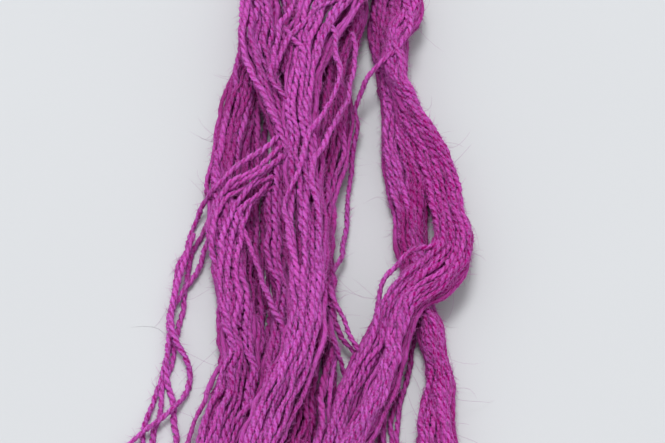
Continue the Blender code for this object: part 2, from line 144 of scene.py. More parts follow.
FOLD_OUTER_LOCK = (
    (18.2, -69.0, 1.2, 6.0, 4.8), (12.6, -57.0, 1.8, 6.4, 4.8), (10.4, -48.5, 2.2, 6.9, 5.0),
    (12.2, -44.0, 2.2, 6.9, 5.4), (14.9, -39.0, 2.0, 6.8, 5.8), (16.8, -34.0, 1.4, 6.5, 5.6),
    (18.2, -29.6, 1.0, 6.4, 5.0), (19.4, -25.3, 2.6, 7.5, 5.0), (21.8, -20.5, 4.2, 8.9, 5.0),
    (26.3, -16.3, 4.6, 9.3, 5.0), (29.9, -12.2, 3.4, 8.5, 4.6), (30.8, -5.9, 1.4, 7.2, 4.2),
    (29.6, 0.8, 0.0, 6.3, 4.2), (28.5, 7.4, 0.8, 6.3, 4.2), (26.0, 13.4, 2.4, 7.1, 4.2),
    (22.5, 19.2, 3.4, 8.2, 4.0), (20.1, 26.5, 3.8, 8.9, 4.0), (20.2, 34.5, 3.6, 8.8, 4.2),
    (23.1, 41.5, 2.4, 7.4, 4.4), (19.6, 48.6, 1.0, 5.9, 4.6), (12.4, 54.6, 1.8, 6.6, 4.8),
    (3.6, 62.0, 3.4, 8.0, 4.8), (-2.2, 72.0, 2.6, 7.2, 4.8),
)
FOLD_INNER_LOCK = (
    (14.4, -69.0, 0.4, 5.4, 4.8), (9.2, -57.0, 0.0, 5.2, 4.8), (7.4, -49.5, 0.0, 5.2, 4.8),
    (8.7, -42.5, 0.0, 5.2, 5.0), (11.1, -35.0, 0.0, 5.3, 5.0), (14.6, -27.8, 0.6, 5.9, 5.0),
    (17.2, -22.7, 2.6, 7.5, 4.8), (20.0, -18.3, 4.2, 8.9, 4.4), (23.3, -14.5, 4.6, 9.3, 4.6),
    (26.9, -10.4, 3.6, 8.5, 4.8), (28.0, -5.1, 2.2, 7.2, 4.4), (27.3, 0.9, 1.0, 6.0, 4.6),
    (26.0, 7.6, 1.2, 5.9, 4.4), (23.9, 13.8, 2.0, 6.3, 4.0), (21.5, 19.9, 2.6, 7.0, 4.0),
    (19.9, 27.3, 2.9, 7.5, 3.8), (19.9, 35.0, 2.6, 7.2, 4.0), (21.0, 43.0, 1.6, 6.2, 4.2),
    (21.6, 54.0, 0.6, 5.2, 4.4), (19.8, 70.0, 0.6, 5.2, 4.6),
)

# --- single strands, from where they leave a lock to where they go back into one -------------------------
CROSSING_TURN = (
    (21.8, 43.0, 6.1), (22.6, 36.6, 8.6), (21.0, 31.6, 8.9), (17.8, 28.0, 8.5), (15.1, 25.4, 7.3),
    (13.6, 22.8, 5.7), (12.9, 19.5, 4.1), (12.5, 15.6, 2.9), (11.9, 10.4, 1.9), (11.2, 4.6, 1.3),
    (11.0, -0.4, 1.1), (10.5, -4.0, 1.5), (10.0, -7.8, 2.5), (8.9, -12.4, 4.3), (7.4, -16.4, 6.3),
    (5.6, -19.0, 7.3),
)
STRAYS = {
    "far_left_outer": (
        (-7.7, 43.2, 6.2), (-7.7, 37.0, 7.6), (-8.1, 33.4, 7.2), (-8.1, 29.6, 5.4), (-8.4, 26.9, 4.6),
        (-8.1, 22.8, 4.4),
    ),
    "front_left_outer": (
        (-6.4, 42.9, 7.4), (-6.9, 39.7, 8.2), (-7.1, 34.3, 8.8), (-6.9, 29.0, 8.9), (-5.7, 24.9, 9.0),
        (-3.4, 20.7, 9.1), (-1.7, 16.1, 9.0), (0.3, 10.7, 8.6), (0.8, 6.4, 7.4), (0.3, 1.6, 6.2),
    ),
    "far_squiggle_left": (
        (1.6, 41.9, 7.0), (0.8, 37.5, 8.4), (-0.6, 35.5, 9.2), (-1.1, 32.3, 9.4), (-1.8, 28.7, 9.4),
        (-2.0, 24.7, 9.4), (-1.1, 21.5, 9.4), (0.1, 19.8, 8.8), (1.6, 17.6, 7.4),
    ),
    "far_squiggle_right": (
        (0.3, 36.0, 7.6), (1.1, 32.6, 9.2), (2.7, 30.1, 10.2), (3.6, 27.8, 10.6), (2.9, 24.6, 10.2),
        (1.8, 21.0, 9.6), (1.3, 16.9, 9.4), (0.8, 13.6, 9.2), (0.6, 10.7, 8.6), (1.3, 7.1, 7.2),
    ),
    "diagonal_outer": (
        (10.9, 42.2, 8.0), (8.3, 39.4, 9.4), (6.3, 38.6, 10.0), (3.7, 35.3, 10.2), (1.5, 32.5, 9.8),
        (-0.3, 29.4, 9.2), (-1.3, 26.3, 8.4), (-1.8, 23.5, 7.0),
    ),
    "diagonal_middle": (
        (12.6, 46.5, 7.8), (9.4, 43.6, 8.6), (6.6, 40.4, 9.0), (4.2, 36.8, 8.8), (2.2, 33.4, 8.4),
        (0.6, 29.8, 7.8), (-0.4, 26.4, 6.8),
    ),
    "diagonal_inner": (
        (10.4, 47.0, 6.6), (7.2, 44.0, 7.4), (4.4, 40.6, 8.0), (2.0, 36.6, 8.2), (0.2, 32.8, 8.2),
        (-1.2, 29.4, 7.4), (-2.0, 26.0, 6.4),
    ),
    "wavy_crest": (
        (8.3, 34.4, 9.6), (9.1, 29.2, 11.4), (10.0, 23.8, 11.7), (8.6, 18.7, 11.8), (6.0, 13.0, 11.9),
        (3.7, 8.0, 11.6), (3.2, 4.5, 11.4), (1.5, 0.8, 10.8), (0.4, -2.5, 10.2), (0.8, -5.5, 10.2),
        (1.5, -9.8, 10.8), (2.5, -14.6, 10.8), (3.1, -19.6, 10.2), (3.2, -24.6, 8.6),
    ),
    "wavy_slope": (
        (12.1, 34.1, 8.0), (12.6, 29.8, 8.6), (11.9, 24.2, 9.2), (10.9, 18.4, 9.6), (8.3, 12.0, 10.8),
        (6.0, 7.0, 11.6), (5.1, 1.6, 11.9), (5.8, -2.7, 12.0), (6.3, -6.3, 11.8), (6.6, -10.6, 11.4),
        (6.3, -15.6, 10.8), (5.6, -21.0, 9.0),
    ),
    "back_to_raised": (
        (-8.1, 1.1, 5.4), (-6.9, -3.6, 6.3), (-6.0, -6.6, 6.3), (-5.1, -9.8, 6.2), (-3.7, -13.3, 6.0),
        (-2.5, -16.6, 6.0), (-1.3, -20.7, 6.2), (-0.1, -23.6, 6.6), (1.0, -27.0, 6.4), (1.6, -31.0, 5.6),
    ),
    "fan_first": (
        (1.4, 9.6, 6.6), (-0.2, 8.2, 7.0), (-2.0, 6.4, 7.4), (-4.4, 4.1, 7.5), (-7.0, 2.6, 6.9),
        (-9.4, 0.8, 6.5), (-11.2, -2.2, 5.9), (-11.8, -7.0, 5.1), (-11.3, -12.0, 4.6), (-10.2, -18.0, 3.6),
        (-9.0, -23.0, 2.6),
    ),
    "fan_second": (
        (1.0, 7.8, 6.2), (-0.6, 6.0, 6.6), (-2.4, 4.9, 6.9), (-4.8, 3.2, 7.1), (-7.2, 0.6, 7.0),
        (-8.7, -2.2, 6.6), (-9.9, -6.4, 6.2), (-10.5, -11.6, 5.9), (-10.4, -17.0, 5.2), (-9.6, -22.0, 4.2),
    ),
    "fan_third": (
        (0.4, 6.0, 5.8), (-1.2, 5.0, 6.2), (-3.0, 3.2, 6.6), (-4.8, 0.8, 6.6), (-6.9, -0.9, 6.5),
        (-8.3, -4.0, 6.4), (-8.7, -9.0, 6.2), (-9.1, -15.0, 5.7), (-8.6, -21.0, 4.4),
    ),
    "fan_fourth": (
        (-0.4, 4.4, 5.2), (-1.9, 3.2, 5.6), (-3.7, 2.0, 6.1), (-5.1, 0.0, 6.4), (-6.5, -3.4, 6.4),
        (-7.0, -8.0, 6.3), (-7.6, -13.0, 6.1), (-7.3, -18.0, 5.3), (-7.0, -23.0, 4.0),
    ),
    "under_turn_upper": (
        (-5.4, 38.0, 3.6), (-5.0, 29.0, 3.6), (-4.6, 20.0, 3.2), (-4.6, 12.0, 2.6), (-4.4, 4.0, 2.4),
        (-4.3, -5.0, 2.2), (-3.8, -14.0, 2.0), (-3.4, -23.0, 2.0), (-4.2, -30.0, 2.0),
    ),
    "under_turn_lowest": (
        (-5.2, 38.0, 0.5), (-5.1, 28.0, 0.5), (-4.9, 18.0, 0.5), (-4.9, 8.0, 0.5), (-4.9, -2.0, 0.5),
        (-4.6, -12.0, 0.5), (-4.2, -20.0, 0.5),
    ),
    "under_gap_left": (
        (-2.0, 44.0, 0.6), (-0.8, 36.0, 0.6), (-0.3, 28.0, 0.6), (0.0, 20.0, 0.6), (0.2, 12.0, 0.6),
    ),
    "under_gap_right": (
        (0.6, 44.0, 0.6), (0.7, 36.0, 0.6), (0.8, 28.0, 0.6), (1.0, 20.0, 0.6), (1.2, 12.0, 0.6),
    ),
    "under_gap_far": (
        (4.8, 56.0, 2.4), (4.4, 48.0, 2.8), (3.8, 40.0, 2.8), (2.8, 32.0, 1.8), (2.0, 24.0, 0.8),
        (1.9, 16.0, 0.6),
    ),
    "under_gap_far_right": (
        (6.8, 56.0, 2.4), (6.0, 48.0, 2.8), (5.0, 40.0, 2.8), (3.8, 32.0, 1.8), (3.0, 24.0, 0.8),
        (2.9, 16.0, 0.6),
    ),
    "under_turn_left": (
        (-6.0, 38.0, 1.4), (-5.6, 28.0, 1.3), (-5.4, 18.0, 1.2), (-5.5, 8.0, 1.1), (-5.4, -2.0, 1.1),
        (-5.2, -12.0, 1.0), (-4.8, -20.0, 1.0), (-5.0, -28.0, 1.0),
    ),
    "under_turn_outer": (
        (-6.6, 36.0, 2.6), (-6.2, 27.0, 2.6), (-6.2, 18.0, 2.5), (-6.4, 9.0, 2.3), (-6.2, 0.0, 2.2),
        (-6.0, -9.0, 2.0), (-5.6, -18.0, 1.8),
    ),
    "under_turn_middle": (
        (-4.8, 38.0, 1.6), (-4.6, 28.0, 1.6), (-4.4, 18.0, 1.6), (-4.4, 8.0, 1.5), (-4.5, -2.0, 1.4),
        (-4.2, -12.0, 1.3), (-3.8, -20.0, 1.2), (-4.2, -28.0, 1.2),
    ),
    "under_turn_low": (
        (-4.2, 38.0, 0.8), (-3.8, 28.0, 0.7), (-3.4, 18.0, 0.7), (-3.3, 8.0, 0.7), (-3.6, -2.0, 0.7),
        (-3.4, -12.0, 0.7), (-3.0, -20.0, 0.7), (-3.5, -28.0, 0.7),
    ),
    "under_turn_right": (
        (-3.6, 38.0, 1.4), (-3.2, 28.0, 1.2), (-2.2, 18.0, 1.0), (-1.8, 8.0, 0.9), (-2.6, -2.0, 0.9),
        (-2.6, -12.0, 0.8), (-2.2, -20.0, 0.8), (-3.0, -28.0, 0.8),
    ),
    "short_bridge_far": (
        (7.9, -16.7, 7.0), (8.9, -19.2, 7.2), (10.2, -21.8, 6.2), (11.6, -24.8, 5.0), (12.8, -27.4, 4.0),
        (13.8, -29.4, 3.2),
    ),
    "short_bridge_middle": (
        (7.8, -18.5, 6.4), (8.8, -21.4, 5.4), (9.8, -23.7, 4.0), (11.0, -25.6, 3.2), (12.2, -27.5, 2.8),
        (13.4, -29.8, 2.6),
    ),
    "short_bridge_near": (
        (8.3, -26.3, 7.2), (9.5, -28.5, 5.2), (10.5, -30.3, 3.3), (11.5, -32.9, 2.7), (12.5, -35.8, 2.3),
    ),
    "fold_stray": (
        (27.4, -6.8, 6.6), (26.3, -9.3, 8.4), (23.2, -10.6, 9.0), (20.9, -11.5, 8.6), (18.6, -13.5, 7.8),
        (17.1, -15.9, 7.0), (16.5, -18.3, 6.6), (16.3, -20.9, 6.4), (15.8, -23.6, 6.0), (14.6, -26.6, 5.2),
    ),
    "right_stray": (
        (23.9, -20.4, 1.6), (23.0, -22.5, 0.7), (22.0, -27.1, 0.6), (20.7, -32.1, 0.6), (19.5, -38.3, 0.6),
        (19.2, -44.3, 0.6), (19.5, -50.4, 0.7), (21.1, -56.7, 1.2), (23.2, -62.9, 2.2),
    ),
}
# The low turns leave the fold's underside, and lie under it as far as the near bend.
LOW_TURNS = {
    "low_turn_outer": (
        (21.6, -21.5, 3.6), (20.8, -25.0, 1.8), (20.2, -28.6, 0.9), (19.2, -33.6, 0.6), (18.5, -37.4, 0.6),
        (18.1, -40.4, 0.6), (18.5, -43.6, 0.6), (18.9, -47.0, 0.6), (19.6, -56.0, 0.7), (20.4, -65.0, 1.4),
        (20.0, -75.0, 2.6),
    ),
    "low_turn_second": (
        (20.6, -22.5, 4.0), (19.9, -26.0, 2.4), (19.2, -29.6, 1.2), (18.2, -34.4, 0.8), (17.4, -38.6, 0.6),
        (17.1, -42.4, 0.6), (17.4, -47.5, 0.6), (18.4, -56.0, 0.8), (19.4, -65.0, 1.6), (19.4, -75.0, 2.8),
    ),
    "low_turn_third": (
        (19.8, -24.0, 4.2), (19.2, -28.0, 2.6), (18.2, -32.6, 1.6), (17.0, -36.8, 0.9), (16.2, -40.8, 0.6),
        (16.1, -45.0, 0.6), (16.7, -53.0, 0.6), (17.8, -62.0, 1.2), (18.6, -73.0, 2.6),
    ),
    "low_turn_fourth": (
        (18.8, -25.0, 4.2), (18.0, -30.0, 2.2), (16.6, -35.0, 1.4), (15.2, -39.6, 0.7), (14.8, -44.0, 0.6),
        (15.2, -51.0, 0.6), (16.6, -61.0, 1.2), (18.0, -73.0, 2.6),
    ),
    "low_turn_inner": (
        (17.6, -26.0, 4.0), (16.6, -31.0, 2.2), (15.0, -36.0, 1.2), (13.8, -41.0, 0.6), (13.4, -46.0, 0.6),
        (14.2, -54.0, 0.7), (16.0, -64.0, 1.6), (17.4, -73.0, 2.6),
    ),
    "low_turn_upper": (
        (20.2, -24.0, 4.4), (19.6, -28.0, 3.0), (18.6, -32.6, 2.2), (17.6, -36.8, 1.7), (16.9, -41.0, 1.4),
        (17.0, -46.0, 1.4), (17.8, -55.0, 1.6), (18.8, -64.0, 2.2), (19.0, -74.0, 3.2),
    ),
    "low_turn_upper_inner": (
        (18.6, -26.0, 4.4), (17.4, -31.0, 2.8), (16.0, -36.0, 2.0), (15.0, -41.0, 1.5), (14.9, -46.0, 1.4),
        (15.8, -55.0, 1.6), (17.2, -64.0, 2.2), (18.4, -74.0, 3.2),
    ),
}
# The loose turns leave the narrow lock over the back lock, and lie on the surface as far as the near bend.
LOOSE_TURNS = {
    "loose_turn_outer": (
        (1.6, 15.4, 7.0), (-0.8, 12.6, 7.8), (-3.0, 9.8, 8.3), (-5.7, 7.2, 8.4), (-8.6, 5.3, 7.6),
        (-11.7, 3.0, 6.0), (-13.3, 1.9, 3.6), (-14.7, -0.1, 1.2), (-15.6, -2.6, 0.6), (-17.0, -6.5, 0.55),
        (-18.5, -13.2, 0.55), (-18.9, -17.8, 0.55), (-19.0, -23.4, 0.55), (-19.6, -27.8, 0.55),
        (-20.5, -32.0, 0.55), (-22.0, -37.3, 0.55), (-22.8, -40.7, 0.55), (-23.2, -45.3, 0.55),
        (-22.7, -56.0, 0.55), (-21.1, -70.0, 0.55), (-18.2, -84.0, 0.55), (-11.2, -96.0, 0.8),
        (-4.4, -102.4, 2.4),
    ),
    "loose_turn_middle": (
        (2.6, 11.4, 7.0), (0.8, 9.4, 7.8), (-0.9, 7.4, 8.3), (-3.6, 4.9, 8.2), (-7.6, 3.3, 7.5),
        (-11.1, 1.1, 5.8), (-12.6, -0.6, 2.4), (-13.7, -2.5, 0.8), (-15.1, -6.1, 0.55),
        (-16.3, -10.2, 0.55), (-16.8, -14.2, 0.55), (-17.2, -19.4, 0.55), (-17.9, -23.8, 0.55),
        (-18.6, -28.2, 0.55), (-19.5, -31.8, 0.55), (-20.0, -36.3, 0.55), (-21.1, -40.7, 0.55),
        (-21.1, -45.3, 0.55), (-21.1, -56.0, 0.55), (-19.7, -70.0, 0.55), (-16.8, -84.0, 0.55),
        (-9.8, -95.6, 0.9), (-3.0, -101.6, 2.6),
    ),
    "loose_turn_inner": (
        (2.2, 13.4, 7.0), (0.3, 11.2, 7.8), (-1.4, 8.9, 8.3), (-4.1, 6.2, 8.2), (-7.0, 4.5, 8.0),
        (-9.6, 2.4, 7.0), (-11.4, -0.2, 5.8), (-12.1, -2.8, 4.4), (-12.8, -5.6, 2.6), (-14.0, -9.0, 1.3),
        (-15.7, -12.7, 1.45), (-17.0, -15.1, 1.5), (-18.4, -17.3, 1.5), (-19.1, -21.1, 1.45),
        (-19.2, -25.4, 1.2), (-19.2, -29.3, 1.0), (-18.4, -33.1, 0.6), (-17.8, -38.3, 0.55),
        (-17.4, -44.3, 0.55), (-18.6, -56.0, 0.55), (-18.0, -70.0, 0.55), (-15.4, -83.0, 0.6),
        (-9.0, -94.4, 1.2),
    ),
}
LOOSE_END_ROUTE = (
    (-15.3, -3.8, 2.35), (-16.1, -6.6, 2.1), (-16.9, -9.6, 2.05), (-17.7, -12.7, 2.05),
    (-18.3, -15.9, 2.05), (-18.7, -19.2, 2.05), (-18.5, -22.3, 2.0), (-17.4, -25.2, 2.05),
    (-15.8, -27.9, 1.35), (-15.3, -30.7, 0.55), (-16.0, -33.8, 0.8), (-17.6, -36.6, 1.9),
    (-20.0, -39.1, 2.05), (-22.7, -41.3, 2.0), (-25.2, -43.4, 1.25), (-27.4, -45.3, 0.55),
    (-29.4, -46.9, 0.52), (-31.6, -48.2, 0.52), (-33.4, -48.8, 0.52),
)


# --- smooth runs and smooth randomness -------------------------------------------------------------------


def steps_along(points: np.ndarray) -> np.ndarray:
    """The distance from each point to the next."""
    return np.linalg.norm(np.diff(points, axis=0), axis=1)


def smooth_rows(rows: Sequence[Sequence[float]], spacing: float, closed: bool) -> np.ndarray:
    """Rows at an even spacing along the smooth curve through the given rows.

    Args:
        rows: The rows of a table in mm, whose first columns are a place.
        spacing: How far apart the new rows are, in metres.
        closed: Whether the curve runs from the last row back to the first.

    Returns:
        The new rows in metres. A closed run doesn't repeat its first row at its end.
    """
    dense_steps = 16
    table = np.array(rows, float) * MM
    if closed:
        around = np.vstack([table[-1:], table, table[:2]])
    else:
        around = np.vstack([table[:1], table, table[-1:]])
    p0, p1, p2, p3 = (around[k : len(around) - 3 + k, None] for k in range(4))
    t = np.linspace(0.0, 1.0, dense_steps, endpoint=False)[None, :, None]
    dense = 0.5 * (
        2.0 * p1
        + (p2 - p0) * t
        + (2.0 * p0 - 5.0 * p1 + 4.0 * p2 - p3) * t**2
        + (3.0 * p1 - p0 - 3.0 * p2 + p3) * t**3
    )
    dense = np.vstack([dense.reshape(-1, table.shape[1]), table[:1] if closed else table[-1:]])
    lengths = np.append(0.0, np.cumsum(steps_along(dense[:, :3])))
    count = max(2, round(lengths[-1] / spacing))
    wanted = np.linspace(0.0, lengths[-1], count + 1)[: count if closed else count + 1]
    return np.stack([np.interp(wanted, lengths, column) for column in dense.T], axis=1)


def drift(rng: np.random.Generator, count: int, swing: float) -> np.ndarray:
    """A smooth random line of values.

    Args:
        rng: The random numbers to draw from.
        count: How many values the line has, each POINT_SPACING from the next.
        swing: About how long one swing of the line is, in metres.

    Returns:
        The values, with a mean of 0 and a spread of 1.
    """
    sigmas_in_swing, sigmas_kept = 5.0, 3.0
    sigma = swing / POINT_SPACING / sigmas_in_swing
    reach = max(1, round(sigmas_kept * sigma))
    bell = np.exp(-0.5 * (np.arange(-reach, reach + 1) / sigma) ** 2)
    line = np.convolve(rng.normal(size=count + 2 * reach), bell, mode="valid")
    return (line - line.mean()) / line.std()


def drifts(rng: np.random.Generator, count: int, swing: float, columns: int) -> np.ndarray:
    """Smooth random lines side by side, one in each column."""
    return np.stack([drift(rng, count, swing) for _ in range(columns)], axis=1)


def eased(share: np.ndarray) -> np.ndarray:
    """The shares, cut to 0 and 1 and eased towards both."""
    share = np.clip(share, 0.0, 1.0)
    return share * share * (3.0 - 2.0 * share)


def unit(vectors: np.ndarray) -> np.ndarray:
    """The vectors of the last axis at length 1."""
    return vectors / np.maximum(np.linalg.norm(vectors, axis=-1, keepdims=True), NEARLY_ZERO)


def summed(owners: np.ndarray, rows: np.ndarray, count: int) -> np.ndarray:
    """The sum of the rows that each of the owners has."""
    return np.stack([np.bincount(owners, column, count) for column in rows.T], axis=1)


def close_pairs(points: np.ndarray, reach: float) -> tuple[np.ndarray, np.ndarray]:
    """Finds the points that lie near each other.

    Args:
        points: The points, one in each row.
        reach: How far apart the two points of a pair may be.

    Returns:
        The numbers of the first and of the second point of each pair.
    """
    cells = np.floor((points - points.min(axis=0)) / reach).astype(np.int64) + 1
    size = cells.max(axis=0) + 2
    keys = (cells[:, 0] * size[1] + cells[:, 1]) * size[2] + cells[:, 2]
    order = np.argsort(keys, kind="stable")
    ordered = keys[order]
    firsts, seconds = [], []
    steps = [(x, y, z) for x in (-1, 0, 1) for y in (-1, 0, 1) for z in (-1, 0, 1)]
    for x, y, z in steps[: len(steps) // 2 + 1]:
        wanted = keys + (x * size[1] + y) * size[2] + z
        start = np.searchsorted(ordered, wanted, "left")
        count = np.searchsorted(ordered, wanted, "right") - start
        first = np.repeat(np.arange(len(points)), count)
        place = np.arange(len(first)) - np.repeat(np.cumsum(count) - count, count)
        second = order[np.repeat(start, count) + place]
        if (x, y, z) == (0, 0, 0):
            first, second = first[first < second], second[first < second]
        near = np.sum((points[first] - points[second]) ** 2, axis=1) < reach**2
        firsts.append(first[near])
        seconds.append(second[near])
    return np.concatenate(firsts), np.concatenate(seconds)


# --- the strands' routes ---------------------------------------------------------------------------------


class Detail(Enum):
    """How finely a strand is modelled.

    The values are the corners of its profile, the steps in one twist, and how far the twist is stretched.
    """

    FINE = (8, 6, 1.0)
    COARSE = (6, 5, 1.0)
    BURIED = (6, 5, 2.2)


@dataclass
class Strand:
    """One strand of yarn before it is built.

    Attributes:
        name: What it is called.
        points: Its route, with a point at every POINT_SPACING.
        lying: How far from its neighbours it comes to rest, at each point.
        hold: How firmly it keeps to its route while it settles, from 0 to 1.
        detail: How finely it is modelled.
    """

    name: str
    points: np.ndarray
    lying: np.ndarray
    hold: float
    detail: Detail = Detail.FINE

    def along(self) -> np.ndarray:
        """The strand's direction at each point."""
        return unit(np.gradient(self.points, axis=0))

    def length(self) -> float:
        """The length of the whole strand."""
        return float(steps_along(self.points).sum())


class FarBend(Enum):
    """How a lock goes round the far bend."""

    ROUND = "from the right leg to the left"
    CROSSED = "from the left to the right, since its legs have changed sides"


@dataclass(frozen=True)
class Course:
    """One course of a lock: turns wound side by side at the same height.

    Attributes:
        height: Where the course lies, from -1 at the lock's underside to 1 at its top.
        turns: How many turns lie side by side.
        detail: How finely they are modelled.
    """

    height: float
    turns: int
    detail: Detail


@dataclass
class Lock:
    """One lock of the hank, wound in courses.

    Attributes:
        name: What it is called.
        left: Its sections down the left leg.
        right: Its sections up the right leg.
        radius: How far it stays from the middle of both bends, in mm.
        under: The height of its underside in the bends, in mm.
        top: The height of its top in the bends, in mm.
        courses: What is wound in it, from the top down.
        far_bend: How it goes round the far bend.
        rim: How far out the outer turns lie, as a share of the way to the section's rim.
        change_from: The share of a round after which a turn moves over to the next one's place.
        buried: Over how many points each end of a strand goes down into the middle.
        wander: How far a turn strays from its place, as a share of the way to the rim.
        shared_crimp: How far neighbours wave together.
        own_crimp: How far each strand waves on its own.
        upward_crimp: The share of its wave that a strand has upwards.
        delays: By how many points the shared wave is shifted for a turn at the side, and at the top.
        room_used: How far apart its turns come to rest, as a share of the room for each.
        hold: How firmly its strands keep to their places while they settle.
    """

    name: str
    left: Sequence[Station]
    right: Sequence[Station]
    radius: float
    under: float
    top: float
    courses: Sequence[Course]
    far_bend: FarBend = FarBend.ROUND
    rim: float = 0.96
    change_from: float = 0.87
    buried: int = 18
    wander: float = 0.16
    shared_crimp: float = 0.22 * MM
    own_crimp: float = 0.18 * MM
    upward_crimp: float = 0.7
    delays: tuple[float, float] = (2.5, 3.0)
    room_used: float = 0.9
    hold: float = 0.13

    def bend(self, centre_x: float, centre_y: float, first_angle: float) -> list[Station]:
        """Half a turn round a bend, anticlockwise.

        Args:
            centre_x: The x of the bend's middle, in mm.
            centre_y: The y of the bend's middle, in mm.
            first_angle: Where the half turn starts, in degrees.

        Returns:
            The lock's sections there.
        """
        stations = []
        for step in range(BEND_STEPS + 1):
            angle = math.radians(first_angle + 180.0 * step / BEND_STEPS)
            x = centre_x + self.radius * math.cos(angle)
            y = centre_y + self.radius * math.sin(angle)
            stations.append((x, y, self.under, self.top, BEND_WIDTH))
        return stations

    def run(self) -> np.ndarray:
        """Joins the lock's sections to a ring.

        Returns:
            The sections down the left leg, up the right leg and back, at an even spacing.
        """
        near = self.bend(NEAR_BEND_X, NEAR_BEND_Y, 180.0)
        far = self.bend(FAR_BEND_X, FAR_BEND_Y, 0.0)
        if self.far_bend is FarBend.CROSSED:
            far.reverse()
        return smooth_rows([*self.left, *near, *self.right, *far], POINT_SPACING, True)

    def places(self, course: Course, size: int, rng: np.random.Generator) -> np.ndarray:
        """Where a course's turns lie in the section: 0, 0 is its middle, and 1 from there is its rim.

        Args:
            course: The course to wind.
            size: How many sections the lock's run has.
            rng: The random numbers to draw from.

        Returns:
            A place for each point of the course's strand, whose two ends are buried in the middle.
        """
        reach = self.rim * (1.0 - abs(course.height) ** SECTION_POWER) ** (1.0 / SECTION_POWER)
        sideways = np.linspace(-reach, reach, course.turns)
        slots = np.stack([sideways, np.full(course.turns, course.height)], axis=1)
        following = np.vstack([slots[1:], slots[-1:]])
        turn = np.repeat(np.arange(course.turns), size)
        row = np.tile(np.arange(size), course.turns)
        share = eased((row / size - self.change_from) / (1.0 - self.change_from))
        place = slots[turn] + (following[turn] - slots[turn]) * share[:, None]
        count = len(place)
        place += self.wander * drifts(rng, count, WANDER_SWING, 2)
        place /= np.maximum(1.0, np.linalg.norm(place, axis=1, keepdims=True))
        point = np.arange(count)
        return place * eased(np.minimum(point, count - 1 - point) / self.buried)[:, None]

    def wind(self, rng: np.random.Generator) -> list[Strand]:
        """Winds the lock.

        Args:
            rng: The random numbers to draw from.

        Returns:
            A strand for each course, with a crimp that neighbours share.
        """
        x, y, under, top, width = self.run().T
        size = len(x)
        low = np.where(under < DIP / 2, under - DIP, under)
        middles = np.stack([x, y, (low + top) / 2], axis=1)
        along = np.roll(middles, -1, axis=0) - np.roll(middles, 1, axis=0)
        across = unit(np.stack([along[:, 1], -along[:, 0], np.zeros(size)], axis=1))
        up = unit(np.cross(across, along))
        half_width = np.maximum(0.0, width / 2 - SIDE_INSET)
        half_height = np.maximum(0.0, (top - low) / 2 - TOP_INSET)
        turns = sum(course.turns for course in self.courses)
        room = self.room_used * np.sqrt(width * (top - low) / turns)
        lying = np.clip(room, TIGHTEST_LYING, LOOSEST_LYING)
        common = drifts(rng, size, SHARED_CRIMP_SWING, 2)
        side_delay, top_delay = self.delays

        strands = []
        for number, course in enumerate(self.courses):
            sideways, upwards = self.places(course, size, rng).T
            row = np.tile(np.arange(size), course.turns)
            delay = np.round(row + side_delay * sideways + top_delay * upwards).astype(int) % size
            own = drifts(rng, len(row), OWN_CRIMP_SWING, 2)
            crimp = self.shared_crimp * common[delay] + self.own_crimp * own
            points = (
                middles[row]
                + across[row] * (sideways * half_width[row] + crimp[:, 0])[:, None]
                + up[row] * (upwards * half_height[row] + self.upward_crimp * crimp[:, 1])[:, None]
            )
            name = f"{self.name}_{number + 1}"
            strands.append(Strand(name, points, lying[row], self.hold, course.detail))
        return strands


@dataclass
class Singles:
    """Strands that run apart from the locks.

    Attributes:
        routes: The route of each strand by its name.
        crimp: How far a strand waves.
        hold: How firmly the strands keep to their routes while they settle.
    """

    routes: dict[str, Sequence[Spot]]
    crimp: float = 0.17 * MM
    hold: float = 0.5

    def lay(self, rng: np.random.Generator) -> list[Strand]:
        """Lays the strands along their routes.

        Args:
            rng: The random numbers to draw from.

        Returns:
            The strands, each with a small crimp of its own.
        """
        strands = []
        for name, route in self.routes.items():
            points = smooth_rows(route, POINT_SPACING, False)
            points += self.crimp * drifts(rng, len(points), OWN_CRIMP_SWING, 3)
            strands.append(Strand(name, points, np.full(len(points), LOOSEST_LYING), self.hold))
        return strands


